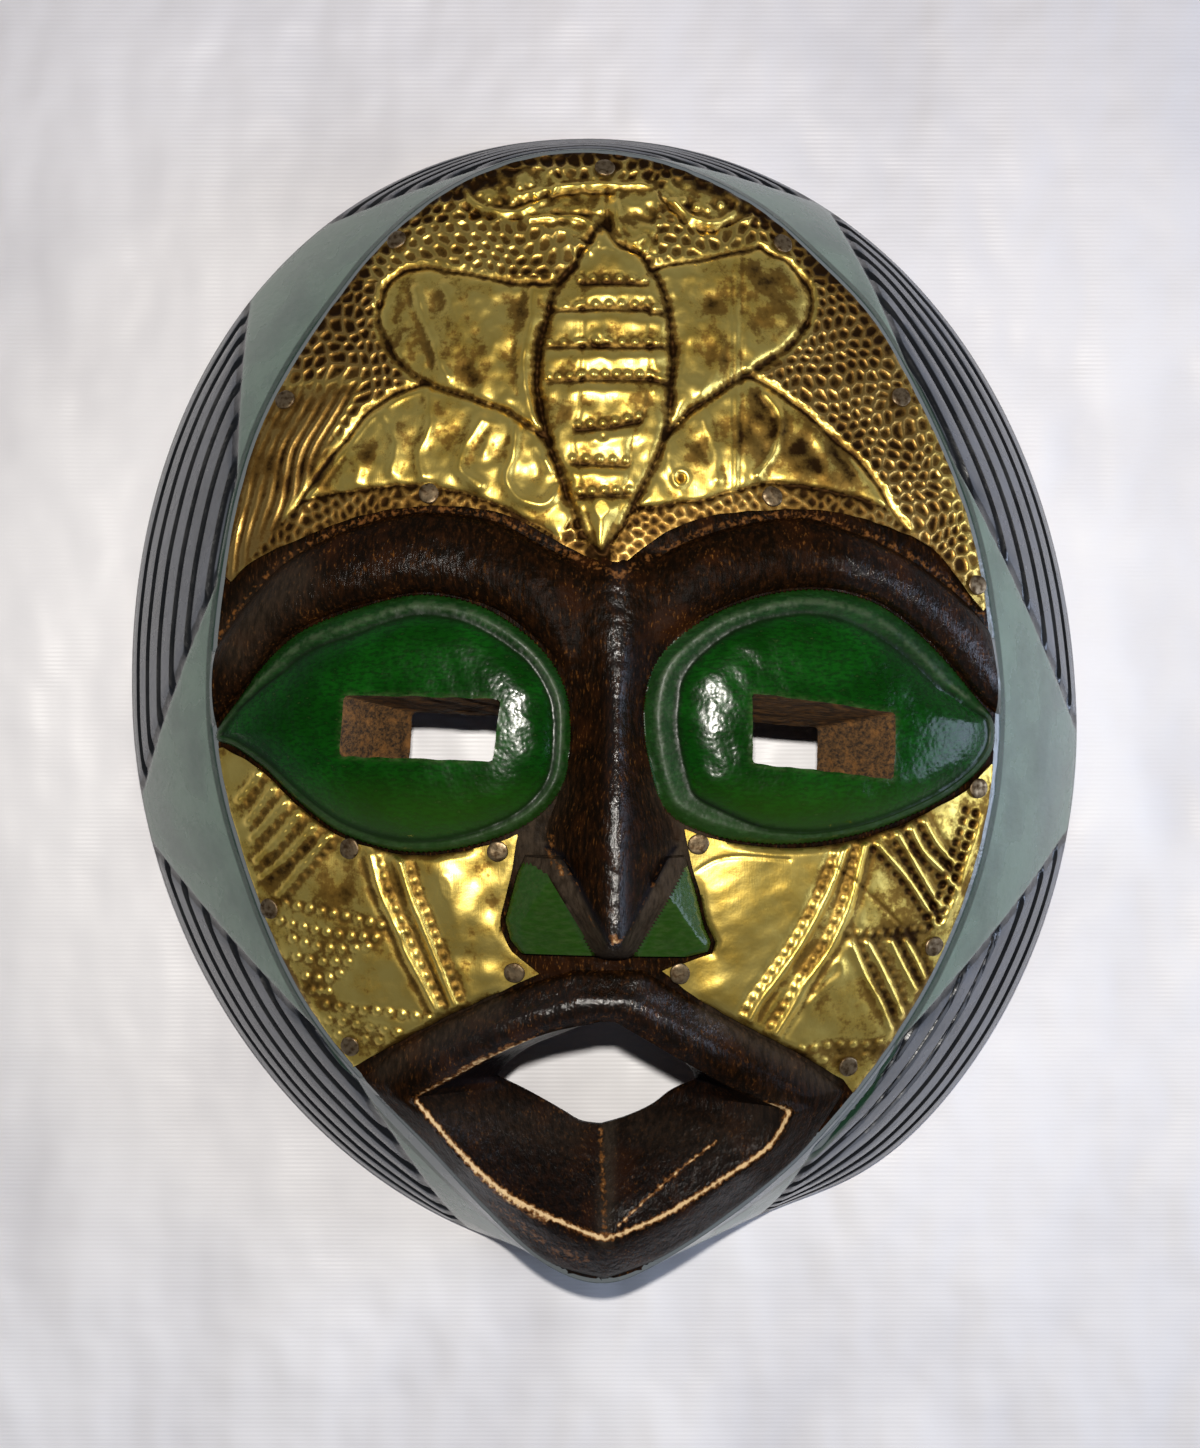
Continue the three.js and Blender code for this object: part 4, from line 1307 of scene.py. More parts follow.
class Relief:
    """Heights hammered into a sheet, in mm over its own level, and the tarnish on it, with some painted light
    and shade.
    """

    def __init__(self, points):
        self.points = points
        self.height = np.zeros(len(points))
        self.ground = np.zeros(len(points))
        self.soil = np.zeros(len(points))
        self.swell = np.zeros(len(points))

    def stroke(self, line, width, height, smooth=True):
        """A liner or tracer drawn along a line."""
        gap = measure(self.points, drawn(line, smooth), reach=3 * width)[0]
        self.height += height * bell(gap, width)

    def strokes(self, table):
        """Many strokes, each with its line, width and height."""
        for line, width, height in table:
            self.stroke(line, width, height)

    def punched(self, line, pitch, radius, height, smooth=True):
        """A row of blows with a round punch."""
        for x, y in spaced(drawn(line, smooth), pitch):
            near = np.abs(self.points - (x, y)).max(1) < 2.5 * radius
            gap = away_from(self.points[near], x, y) / radius
            bead = np.exp(-(gap / 0.72) ** 4)
            pulled_in = 0.25 * bell(gap - 1.25, 0.35)
            self.height[near] += height * (bead - pulled_in)

    def soiled(self, line, width, amount):
        """Tarnish that polishing never reached."""
        gap = measure(self.points, drawn(line), reach=4 * width)[0]
        self.soil += amount * bell(gap, width)

    def blotches(self, places, amount, level, spread, seed):
        """Round darker patches with uneven edges: tarnish, and on the outer left cheek painted shade."""
        patchy = level + spread * uneven(self.points, 3, seed)
        for x, y, size in places:
            self.soil += amount * bell(away_from(self.points, x, y), size) * patchy

    def spot(self, x, y, radius, height):
        """A round dent, or a swelling where the height is positive."""
        self.height += height * bell(away_from(self.points, x, y), radius)

    def spots(self, table):
        """Many dents or swellings, each with its place, radius and height."""
        for x, y, radius, height in table:
            self.spot(x, y, radius, height)

    def pad(self, loop, height, shoulder):
        """A whole area pushed up from behind, with a rounded shoulder."""
        loop = np.array(loop, float)
        within = inside(self.points, loop)
        gap = measure(self.points, loop, closed=True, reach=4 * shoulder)[0]
        lift = height * (1 - np.exp(-np.minimum(gap, 50) / shoulder))
        self.height += np.where(within, lift, 0)
        return within

    def stamped(self, where, heading, length, width, depth, jitter, seed):
        """Punched cells in rows, dark at the bottom, with a raised net left between them."""
        some = np.nonzero(where > 0.01)[0]
        if len(some) == 0:
            return
        points = self.points[some]
        warp = np.column_stack([uneven(points, 8, seed), uneven(points, 8, seed + 1)])
        points = points + 0.5 * width * warp
        turn = math.radians(heading)
        along = (points[:, 0] * math.cos(turn) + points[:, 1] * math.sin(turn)) / length
        across = (-points[:, 0] * math.sin(turn) + points[:, 1] * math.cos(turn)) / width
        row = np.floor(across)
        gaps = []
        for row_step in (-1, 0, 1):
            this_row = row + row_step
            shifted = along + 0.5 * (this_row % 2)
            column = np.floor(shifted)
            for column_step in (-1, 0, 1):
                cell = column + column_step
                luck = np.sin(cell * 127.1 + this_row * 311.7 + seed) * 43758.5
                luck_too = np.sin(cell * 269.5 + this_row * 183.3 + seed) * 27183.1
                centre_u = cell + 0.5 + jitter * (luck - np.floor(luck) - 0.5)
                centre_v = this_row + 0.5 + jitter * (luck_too - np.floor(luck_too) - 0.5)
                gaps.append(np.hypot((shifted - centre_u) * length, (across - centre_v) * width))
        gaps = np.sort(np.array(gaps), axis=0)
        border = 0.5 * (gaps[1] - gaps[0])
        crest = bell(border, 0.4)
        pit = 1 - bell(border, 0.65)
        share = where[some]
        self.height[some] += share * depth * (0.5 * crest - 0.25 * pit)
        self.soil[some] += share * (0.72 * pit - 0.06 * crest + 0.04)
        self.ground[some] = np.maximum(self.ground[some], share)

    def ridged(self, where, across, pitch, height):
        """Long ridges side by side, broken here and there."""
        wave = np.cos((across + 0.7 * uneven(self.points, 9, 33)) * 2 * np.pi / pitch)
        strength = 0.55 + 0.45 * uneven(self.points, 5, 34)
        self.height += where * height * strength * wave
        self.soil += where * (0.2 - 0.16 * wave)
        self.ground = np.maximum(self.ground, where)


# %% The forehead: where everything is
BODY_LEFT = [
    (-1, 111), (-4, 105.5), (-7, 101), (-11, 95), (-13, 87.5), (-14.5, 80), (-15, 72.5), (-14, 66),
    (-12, 58), (-9.5, 50), (-6.5, 43), (-3.5, 36.5), (-1, 34),
]
BODY_RIGHT = [
    (9, 102.5), (11.5, 98), (13.5, 93), (14.5, 86), (15, 78), (14.5, 70), (13.5, 61.5), (10.5, 53.5),
    (6.5, 45.5), (3, 39), (0, 34.5),
]
UPPER_LEFT_TOP = [
    (-51, 92.5), (-49.5, 97), (-46, 100), (-40.5, 101), (-34, 99.5), (-26, 97.5), (-19, 96), (-12, 96),
    (-6.5, 100),
]
UPPER_LEFT_FOOT = [
    (-51, 92.5), (-51, 87.5), (-48.5, 82), (-43.5, 76), (-36.5, 72), (-30, 69.5), (-23, 67),
    (-17.5, 63.5), (-12, 59.5),
]
UPPER_RIGHT_TOP = [(10, 99.5), (15, 100.5), (21.5, 102), (28.5, 104), (35.5, 106)]
UPPER_RIGHT_FOOT = [
    (35.5, 106), (41, 103), (45.5, 98), (47, 93.5), (45.5, 87.5), (41.5, 82.5), (33.5, 76.5), (25.5, 71),
    (18.5, 66), (14, 61.5),
]
LOWER_LEFT_EDGE = [(-40, 73.5), (-45.5, 71.5), (-52.5, 67), (-58, 60.5), (-63, 54), (-67, 48), (-70, 44)]
LOWER_RIGHT_EDGE = [
    (31, 75), (36.5, 72.5), (43.5, 67), (50, 61.5), (55.5, 56.5), (60.5, 50.5), (64, 44.5), (67, 40.5),
]
BROW_LINE_LEFT = [
    (-67.5, 47), (-58.5, 48.5), (-49.5, 49.5), (-43, 50), (-36, 49), (-29.5, 47.5), (-23, 45),
    (-16.5, 41.5), (-10, 37.5),
]
BROW_LINE_RIGHT = [
    (7.5, 44.5), (16.5, 45.5), (22, 46.5), (28.5, 48.5), (35, 50), (42, 50), (48.5, 49), (55.5, 47.5),
    (62, 45.5),
]

# %% The forehead: the figure and its ground
HEAD = [(-8, 122), (12, 122), (12, 103), (0, 104), (-19, 112.5), (-19, 117)]
LENSES = [
    [(-33, 120), (-27, 113), (-14, 113), (-9, 119), (-16, 125), (-27, 123)],
    [(13, 118), (22, 109.5), (33, 114), (36, 118), (24, 122), (15, 122)],
]


def figure_loops():
    """The outlines that are pushed up from behind, each with its height."""
    body = np.vstack([spline(BODY_LEFT), spline(BODY_RIGHT)[::-1]])
    upper_left = np.vstack([spline(UPPER_LEFT_TOP), spline(BODY_LEFT[3:9]), spline(UPPER_LEFT_FOOT)[::-1]])
    upper_right = np.vstack([
        spline(UPPER_RIGHT_TOP), spline(UPPER_RIGHT_FOOT), spline(BODY_RIGHT[1:7])[::-1],
    ])
    lower_left = np.vstack([
        spline(LOWER_LEFT_EDGE), spline(BROW_LINE_LEFT), spline(BODY_LEFT[8:11])[::-1],
        np.array(UPPER_LEFT_FOOT[4:8][::-1], float),
    ])
    lower_right = np.vstack([
        spline(LOWER_RIGHT_EDGE), spline(BROW_LINE_RIGHT)[::-1], spline(BODY_RIGHT[6:9])[::-1],
        np.array(UPPER_RIGHT_FOOT[6:10][::-1], float),
    ])
    return [(upper_left, 1.0), (upper_right, 1.0), (lower_left, 0.9), (lower_right, 0.9), (body, 1.1)]


def forehead_areas(metal):
    """Pushes up the figure, and finds the strip over the brows, the crumpled top and the ground."""
    points = metal.points
    figure = np.zeros(len(points), bool)
    for loop, height in figure_loops():
        figure |= metal.pad(loop, height, 1.5)
    strip_loop = [spline(BROW_LINE_LEFT), [(2, 36)], spline(BROW_LINE_RIGHT), [(85, 25), (-88, 25)]]
    strip = inside(points, np.vstack(strip_loop)) & ~figure
    head = inside(points, np.array(HEAD, float))
    for lens in LENSES:
        head |= inside(points, spline(lens, closed=True))
    free = ~(figure | strip | head)
    crumpled = head | (free & (points[:, 1] > 112))
    quiet_lines = (
        LOWER_LEFT_EDGE, LOWER_RIGHT_EDGE, UPPER_LEFT_TOP, UPPER_LEFT_FOOT[:5], UPPER_RIGHT_TOP,
        UPPER_RIGHT_FOOT[:7],
    )
    quiet = np.min([measure(points, spline(line))[0] for line in quiet_lines], axis=0)
    return figure, strip, crumpled, free * eased(1.0, 2.0, quiet)


# %% The forehead: the stamped ground


def stamp_ground(metal, ground):
    """Punched cells in rows that turn with the wings, and long ridges at the far left."""
    x, y = metal.points.T
    turn, radius = polar(metal.points)
    right = ground * (x > 12)
    left = ground * (x <= 12)
    crown = y > 98
    far_right = x - 0.3 * (60 - y)
    far_left = eased(-60, -66, x - 0.45 * (y - 55)) * eased(78, 70, y)
    for where, heading, length, width, depth, jitter, seed in (
        (right * crown, 12, 3.3, 3.0, 0.75, 0.3, 3),
        (right * ~crown * (far_right < 76), -47, 3.2, 2.5, 0.8, 0.35, 5),
        (right * ~crown * (far_right >= 76), -62, 3.6, 2.5, 1.0, 0.3, 7),
        (left * crown * (1 - far_left), 4, 3.3, 3.0, 0.8, 0.3, 9),
        (left * ~crown * (1 - far_left), 52, 3.8, 2.4, 0.9, 0.4, 11),
    ):
        metal.stamped(where, heading, length, width, depth, jitter, seed)
    metal.ridged(left * far_left, face_reach(turn) - radius, 2.7, 0.32)
    # The top rows of cells and the far right corner get less copper tint and tarnish, so they are lighter; at
    # the far right this is a painted highlight of the window.
    lighter_top = eased(92, 104, y)
    painted_window_glint = right * eased(70, 76, far_right)
    metal.ground *= 1 - 0.5 * lighter_top - 0.5 * painted_window_glint
    metal.soil -= ground * (0.2 + 0.2 * (x < 12)) * np.maximum(lighter_top, painted_window_glint)


def stamp_brow_strip(metal, strip):
    """Short upright blows along the strip over the brows."""
    x = metal.points[:, 0]
    left = strip * (x < 2)
    right = strip * (x >= 2)
    metal.stamped(left * eased(-86, -74, x), 88, 3.0, 1.9, 0.4, 0.5, 15)
    metal.stamped(right * eased(88, 74, x), 92, 3.0, 1.9, 0.4, 0.5, 17)
    metal.soil += 0.16 * strip + 0.16 * left


# %% The forehead: the wings
# A fold is a line, its width and its height. A dent is a place, its radius and its height.
WING_DENTS = [
    (-20.5, 91, 4, -1.1), (-28.5, 83, 2.2, -0.6), (-22, 79, 2.2, -0.6), (-47, 86, 3, -0.5),
    (-39, 92, 3.5, -0.5), (-30, 93, 4, 0.35), (24, 92, 2.6, -0.6), (19, 86, 2, -0.4),
    (21.5, 80.5, 2.2, -0.55), (17.5, 75, 2, -0.5),
    (41, 93, 4, -0.45), (36, 86, 2.6, -0.4), (24, 97, 4, 0.4), (33, 98, 5, 0.4), (-55, 60, 3, -0.5),
    (-50, 55, 2.2, 0.5), (-36, 60, 3, -0.5), (-24, 56, 1.8, -0.5), (21, 58, 2.5, -0.5), (28, 57, 3, 0.4),
    (33, 62, 2, -0.4), (41, 58, 4, -0.35), (50, 53, 4, 0.3), (-7, 52, 2, 0.5), (-15.5, 51, 2.2, -0.9),
]
WING_FOLDS = [
    ([(-42.5, 95.5), (-40.5, 89), (-38, 83), (-36.5, 77.5), (-35, 74.5)], 1.1, 0.8),
    ([(-44.7, 95), (-43, 89), (-40.5, 83), (-38.8, 77.5)], 1.0, -0.4),
    ([(-36, 96), (-32, 86), (-28, 77), (-26.5, 70)], 1.6, 0.5),
    ([(-16, 95), (-16.5, 86), (-18, 78), (-17, 70), (-15, 63)], 1.1, 0.85),
    ([(-18.5, 94), (-19.5, 86), (-20.5, 78), (-19.5, 70)], 1.0, -0.35),
    ([(-28, 92), (-25, 84), (-24.5, 76), (-22, 69)], 2.0, 0.3),
    ([(28, 102.5), (28, 85), (27.5, 64.5), (27.5, 47.5)], 0.5, 0.22),
    ([(31, 103.5), (30.5, 85.5), (30, 64.5), (29.5, 48.5)], 0.5, -0.3),
    ([(29.4, 103), (29.2, 85), (28.8, 64.5), (28.6, 48)], 0.35, 0.2),
    ([(25.5, 81.5), (24.5, 76), (21, 70.5)], 1.3, 0.6),
    ([(20, 98), (18.5, 90), (18.6, 82), (17, 74)], 1.4, 0.4),
    ([(44.5, 99), (45.8, 93.5), (44, 87)], 1.0, -0.4),
    ([(-49, 66), (-46, 59), (-47, 53)], 1.3, 0.7),
    ([(-58, 59), (-54, 54), (-54.5, 51)], 1.2, 0.45),
    ([(-39, 70.5), (-38.5, 63), (-41, 56.5), (-40, 52)], 1.1, 0.75),
    ([(-27, 64), (-31, 57.5), (-31.5, 53), (-27.5, 49.5)], 1.4, 1.2),
    ([(-24.5, 63), (-26.5, 57)], 1.6, 0.7),
    (
        [(-19.5, 62.5), (-20, 56.5), (-21.5, 51), (-18.5, 46.3), (-12.5, 45.5), (-10, 50), (-12.5, 55)],
        1.2, 1.2,
    ),
    ([(-15, 58), (-12.5, 53)], 1.4, 0.6),
    ([(21.5, 64), (23.5, 58.5), (24.5, 51)], 1.3, 0.7),
    ([(14, 60), (13.5, 55), (16.5, 47.5)], 1.2, 0.5),
    ([(35.5, 70.5), (38.5, 66), (37.5, 58.5), (33.5, 52)], 1.0, 1.0),
    ([(46, 62), (49, 57), (49, 52)], 1.3, 0.4),
    ([(55, 55), (57, 51.5)], 1.2, 0.4),
]
EYELET = (16.5, 51)


def work_wings(metal, figure):
    """Smooth wings with broad dents, creases and pulled folds, and one small eyelet."""
    points = metal.points
    metal.height += figure * (0.4 * uneven(points, 5.5, 51) + 0.14 * uneven(points, 2.4, 52))
    metal.spots(WING_DENTS)
    metal.strokes(WING_FOLDS)
    metal.spot(*EYELET, 0.8, -1.1)
    metal.height += 0.35 * bell(away_from(points, *EYELET) - 1.7, 0.5)


# %% The forehead: the body of the insect
BODY_RINGS = [
    [(-5.5, 97), (9, 97)], [(-5, 90.7), (9.5, 91)], [(-5, 82), (9.5, 82)], [(-5, 74.5), (10, 74.5)],
    [(-6, 63), (1, 63.5), (7.5, 65)], [(-7, 55.5), (4.5, 55)], [(-5.5, 48), (5, 48.5)],
]
SIDE_RINGS = [
    [(-11.5, 90.5), (-6, 90.5)], [(-12.5, 82), (-6, 82)], [(-12.5, 74), (-5.5, 74)], [(10, 82), (13, 82)],
    [(10, 90), (12.5, 90)], [(11, 74), (13.5, 73.5)],
]
BODY_SIDES = [
    ([(-5, 98.5), (-5, 82.5), (-5, 68.5), (-7, 59.5), (-6, 53), (-4.5, 45), (-2, 37)], 0.6, -0.3),
    ([(9.5, 98.5), (10, 82.5), (9.5, 68.5), (6, 59.5), (5, 50.5), (3, 44), (0, 37)], 0.6, -0.3),
    ([(-1, 46), (-1, 35.5)], 1.5, 0.8),
]
BODY_PUFFS = [
    (-2, 87, 2.4, 0.5), (5, 86.5, 2.2, 0.4), (-9, 78.5, 2, 0.4), (0, 78.3, 2.2, 0.45), (6, 78, 2, 0.4),
    (-1, 70, 2.6, 0.6), (5.5, 69, 2.2, 0.5), (-4, 66, 2, 0.35), (-2, 59.5, 1.8, 0.45), (4, 60, 1.8, 0.4),
    (-3, 52, 1.7, 0.45), (2.5, 51.6, 1.7, 0.45), (-1, 93.5, 2, 0.4), (5, 94, 2, 0.35), (-1, 83.3, 1.7, 0.9),
    (-0.5, 60, 0.9, -0.7), (-0.2, 43.5, 2.2, 0.8), (1, 101.5, 3.2, 0.6),
]
DOME_FOOT = [(-2.8, 81.6), (-1, 80.6), (0.8, 81.6)]


def body_ring(metal, row, beads, groove, swell, soil):
    """A row of beads with a groove and a soft roll below it."""
    metal.punched(row, *beads)
    metal.stroke([(x, y - groove[0]) for x, y in row], *groove[1:])
    metal.stroke([(x, y - swell[0]) for x, y in row], *swell[1:])
    metal.soiled([(x, y - 0.9) for x, y in row], 1.0, soil)


def work_body(metal):
    """The body: beaded rings across, a dome, and the bright point of the tail."""
    for row in BODY_RINGS:
        body_ring(metal, row, (2.7, 0.95, 0.5), (1.5, 0.55, -0.55), (4.0, 1.7, 0.5), 0.55)
    for row in SIDE_RINGS:
        body_ring(metal, row, (2.6, 0.9, 0.35), (1.4, 0.5, -0.45), (3.8, 1.5, 0.35), 0.45)
    metal.strokes(BODY_SIDES)
    metal.spots(BODY_PUFFS)
    metal.stroke(DOME_FOOT, 0.6, -0.5)
    metal.soiled(DOME_FOOT, 0.7, 0.35)


# %% The forehead: the head
HEAD_FOLDS = [
    ([(0.5, 119), (0.5, 112.5), (1.5, 107.5), (4, 105), (7.5, 103.5)], 0.75, -0.9),
    ([(11.5, 118.5), (12.5, 114), (11, 109), (9, 104)], 0.7, 0.75),
    ([(3, 118.5), (2.6, 113), (3.6, 108.5), (6.5, 106), (9, 107.5)], 0.7, 0.7),
    ([(-17, 112), (-10, 112.4), (-4, 111), (-1.5, 107), (-3.5, 103.5)], 0.8, 0.9),
    ([(-13, 109), (-8, 108.5), (-5.5, 105.5)], 1.4, 0.6),
    ([(-19.5, 118), (-12.5, 119.5), (-5.5, 120.5), (1.5, 120.5), (10.5, 120.5)], 0.7, 0.8),
    ([(-19.5, 116), (-12.5, 117.5), (-5.5, 118.5), (1.5, 118.5)], 0.6, -0.6),
    ([(-31.5, 115), (-27, 113), (-21.5, 112), (-14.5, 113), (-7, 113), (-1, 113)], 0.7, -0.6),
    (
        [(-32, 119.5), (-30, 116.5), (-26, 114.5), (-20.5, 114), (-14.5, 116), (-11, 120), (-12, 124)],
        0.75, 0.8,
    ),
    ([(13.5, 116.5), (17, 112.5), (21.5, 109.5), (26.5, 110.5), (31.5, 113.5), (34.5, 117)], 0.7, -0.6),
    ([(15.5, 116.5), (19.5, 113), (24.5, 111.5), (29, 114), (30.5, 117.5), (28, 120)], 0.75, 0.9),
]
LENS_DOTS = [
    ([(-29, 119), (-25, 117), (-20, 116.5), (-16, 118)], 2.6, 1.0, 0.4),
    ([(-27, 121.5), (-22, 120), (-17, 121)], 2.6, 1.0, 0.35),
    ([(18, 117), (22, 115), (26.5, 116.5)], 2.8, 1.1, 0.6),
]


def work_head(metal, crumpled):
    """The head, its lenses and the crumpled metal round them."""
    points = metal.points
    metal.strokes(HEAD_FOLDS)
    metal.spot(6.5, 113, 2.5, -0.5)
    for dots in LENS_DOTS:
        metal.punched(*dots)
    metal.height += crumpled * (0.45 * uneven(points, 3.2, 53) + 0.25 * uneven(points, 1.8, 54))
    metal.soil += crumpled * (0.18 - 0.2 * uneven(points, 3.2, 53))


# %% The forehead: contours and tarnish
# Each traced contour with its width and depth, and each raised edge beside one with its distance.
CONTOURS = [
    (BODY_LEFT, 1.5, -0.9), (BODY_RIGHT, 1.5, -0.8), (UPPER_LEFT_TOP, 0.8, -0.6),
    (UPPER_LEFT_FOOT, 0.9, -0.7), (UPPER_RIGHT_TOP, 0.7, -0.5), (UPPER_RIGHT_FOOT[:5], 0.65, -0.5),
    (UPPER_RIGHT_FOOT[4:], 1.2, -0.85),
    (LOWER_LEFT_EDGE, 0.65, -0.5), (LOWER_RIGHT_EDGE, 0.65, -0.5), (BROW_LINE_LEFT, 0.55, -0.4),
    (BROW_LINE_RIGHT, 0.55, -0.4),
]
RAISED_EDGES = [
    (LOWER_LEFT_EDGE, 1.7), (LOWER_RIGHT_EDGE, 1.7), (UPPER_RIGHT_FOOT[:6], 1.5), (UPPER_LEFT_TOP[:5], 1.6),
]
BLOTCHES = [
    (-20.5, 91, 5), (24, 91, 3.5), (38, 86, 4), (-46, 84, 4), (-10, 66, 5), (20, 57, 4), (43, 58, 5),
    (-52, 58, 4), (-36, 93, 4), (12, 90, 3), (-57, 90, 6), (-70, 55, 7), (33, 70, 3), (50, 55, 8),
    (33, 60, 5), (10, 68, 4), (-30, 75, 4), (28, 78, 4), (40, 96, 5), (-44, 62, 4), (-40, 80, 5),
    (-45, 93, 3), (36, 98, 5), (-24, 60, 3), (44, 90, 4), (57, 52, 4), (-62, 52, 4), (36, 62, 8), (50, 54, 7),
]


def trace_contours(metal):
    """The dark contours are traced last, blow by blow, so they look like fine rope."""
    points = metal.points
    for line, width, depth in CONTOURS:
        path = spline(line)
        path = path + 0.25 * np.column_stack([uneven(path, 4, 57), uneven(path, 4, 58)])
        gap, along = measure(points, path, reach=4)
        beat = 0.88 + 0.12 * np.sin(along * 2 * np.pi / 1.9 + 2.5 * np.sin(along / 5))
        groove = bell(gap, width)
        metal.height += depth * beat * groove
        metal.soil += (0.36 + 0.2 * (width > 1)) * groove * (1 + 0.5 * uneven(points, 2.2, 60))
    for line, side in RAISED_EDGES:
        metal.stroke(beside(spline(line), side), 0.7, 0.4, smooth=False)


def tarnish_forehead(metal):
    """Brown tarnish at the top edge and in blotches."""
    points = metal.points
    turn, radius = polar(points)
    metal.soil += 0.8 * eased(7, 2, face_reach(turn) - radius) * eased(0.75, 0.95, np.sin(turn))
    metal.blotches(BLOTCHES, 0.42, 0.8, 0.6, 59)


def forehead_relief(points):
    """The blows in the order a chaser would make them."""
    metal = Relief(points)
    figure, strip, crumpled, ground = forehead_areas(metal)
    stamp_ground(metal, ground)
    stamp_brow_strip(metal, strip)
    work_wings(metal, figure)
    work_body(metal)
    work_head(metal, crumpled)
    trace_contours(metal)
    tarnish_forehead(metal)
    return metal


# %% The left cheek


def rib(metal, line, side, height):
    """A raised bar with a row of small punched dots beside it."""
    path = spline(line)
    metal.stroke(path, 1.0, height, smooth=False)
    metal.punched(beside(path, 1.9 * side), 2.45, 0.9, 0.26, smooth=False)
    metal.stroke(beside(path, 3.1 * side), 0.7, -0.25, smooth=False)
    metal.soiled(beside(path, 2.0 * side), 1.1, 0.34)
    metal.stroke(beside(path, -1.9 * side), 1.0, -0.3, smooth=False)
    metal.soiled(beside(path, -1.9 * side), 0.9, 0.14)


def bulge(points, inner_x, outer_x, rise):
    """The cheek swells a little between the nose and the face edge."""
    share = np.clip((np.abs(points[:, 0]) - inner_x) / (outer_x - inner_x), 0, 1)
    return rise * np.sin(np.pi * share**0.8)


LEFT_FAN = [
    [(-82, -19.5), (-78, -14.5), (-76.5, -11.5)], [(-80, -24.4), (-76.5, -20), (-72.7, -15.4)],
    [(-78.9, -28), (-74.5, -23.5), (-69.9, -18.7)], [(-78, -33), (-72.6, -28), (-66.9, -21.1)],
    [(-76.8, -36.6), (-70.5, -31.5), (-63.5, -24)], [(-73.1, -40.8), (-67.5, -34.4), (-59.8, -26)],
]
LEFT_RIBS = [
    ([(-51.6, -31.3), (-49.4, -38.9), (-46.8, -45.1), (-45.4, -48.2)], 0.85),
    ([(-45, -48.5), (-43.9, -52.1), (-41.7, -56.5), (-39.5, -60.9), (-37.3, -65.3)], 1.0),
    (
        [
            (-45.7, -30), (-43.9, -35.5), (-42.2, -41), (-40.4, -45.3), (-38.2, -50.8), (-36.1, -56.3),
            (-32.8, -65),
        ],
        1.2,
    ),
]
LEFT_DOT_ROWS = [
    [(-71.5, -42.7), (-68, -43.2), (-61, -44.2), (-54.5, -45.6), (-49, -46.6)],
    [(-73, -46.5), (-68.5, -47.5), (-61.5, -48.7), (-54.5, -49.4), (-50.5, -49.5)],
    [(-70, -50.5), (-64, -52), (-57, -52.3), (-52.5, -51.6)],
    [(-69, -54.5), (-64, -55.4), (-57, -55.2)],
    [(-67, -59), (-62.5, -59.3), (-59, -58)],
    [(-65.5, -62.3), (-62, -62.2)],
    [(-62.5, -65.2), (-57, -66), (-49.5, -66.3), (-42.5, -67), (-39, -67.3)],
    [(-62, -68.8), (-58, -69.3), (-52, -70.2), (-46, -71)],
    [(-60, -72.3), (-54.5, -73), (-50.5, -73.2)],
]
LEFT_DENTS = [
    (-34.5, -38.5, 3.2, 0.8), (-30, -43.5, 3, 0.6), (-26, -57, 3, 0.6), (-28, -36.5, 2.2, -0.4),
    (-25, -42.5, 2.6, -0.6), (-26, -33, 2, -0.3), (-33, -59, 2.6, -0.4), (-29.5, -53, 3, -0.4),
    (-37, -35, 3, 0.5), (-60, -39, 5, -0.4), (-50, -58, 4, -0.3),
]
# The small blotch near the nose is tarnish; the three wide ones darken the outer cheek as painted shade.
LEFT_BLOTCHES = [(-24, -41, 2), (-70, -60, 7), (-62, -33, 7), (-56, -38, 6)]


def left_cheek_relief(points):
    """A fan of bars at the eye, three ribs down the middle and rows of dots outside them."""
    metal = Relief(points)
    metal.swell = bulge(points, 16, 80, 1.3)
    metal.height += 0.2 * uneven(points, 6, 61) + 0.07 * uneven(points, 2.5, 62)
    for line in LEFT_FAN:
        metal.stroke(line, 1.05, 0.95)
        metal.punched(line, 2.4, 0.8, 0.18)
        metal.punched(beside(spline(line), -1.8), 2.6, 0.85, 0.2, smooth=False)
        metal.soiled(beside(spline(line), -1.9), 1.0, 0.4)
    for line, height in LEFT_RIBS:
        rib(metal, line, 1, height)
    for row in LEFT_DOT_ROWS:
        metal.punched(row, 2.95, 1.15, 0.42)
        metal.soiled(row, 1.6, 0.2)
    metal.spots(LEFT_DENTS)
    metal.stroke([(-35, -36), (-32.5, -45), (-31, -50)], 2.2, 0.5)
    metal.blotches(LEFT_BLOTCHES, 0.3, 0.8, 0.5, 63)
    return metal


# %% The right cheek
RIGHT_RIBS = [
    (
        [(52.6, -29), (50.6, -34.9), (47.5, -42.1), (43.4, -49.8), (39, -56.4), (33.9, -63.4), (31.8, -67.3)],
        1.1,
    ),
    ([(56.9, -29), (55.4, -35.6), (53.2, -43.7), (49.3, -52), (44, -59.7), (42, -63.6), (37, -71.8)], 1.2),
]
RIGHT_FAN = [
    [(70, -22.5), (73.5, -28.5), (78, -33.5)], [(67, -24), (70.5, -30.5), (76, -36), (78.5, -39.5)],
    [(64, -26), (69, -34), (72.5, -39.5), (75.5, -44)], [(60, -29), (65.5, -35), (69, -39.5), (74, -47)],
]
RIGHT_LOWER_FAN = [
    [(54.5, -51.5), (57.5, -58), (61.5, -65), (64, -71)],
    [(58, -51), (61.5, -57), (65, -64), (66.5, -67.5)],
    [(63.5, -51), (67, -57.5), (69.5, -62)],
    [(67, -51), (70, -56), (72, -60)],
]
RIGHT_EDGE = [(83, -22.5), (81.5, -27.5), (79, -34.5), (77, -41), (74.5, -46.5)]
RIGHT_DOT_ROWS = [
    ([(53.5, -48.3), (60, -48.9), (67, -48.4), (71, -48.3)], 2.4, 1.0, 0.3),
    ([(43.5, -74.5), (51.5, -74), (58.5, -74.3), (61.5, -74)], 2.9, 1.1, 0.3),
    ([(49, -77.5), (58.5, -77)], 3.0, 1.0, 0.25),
]
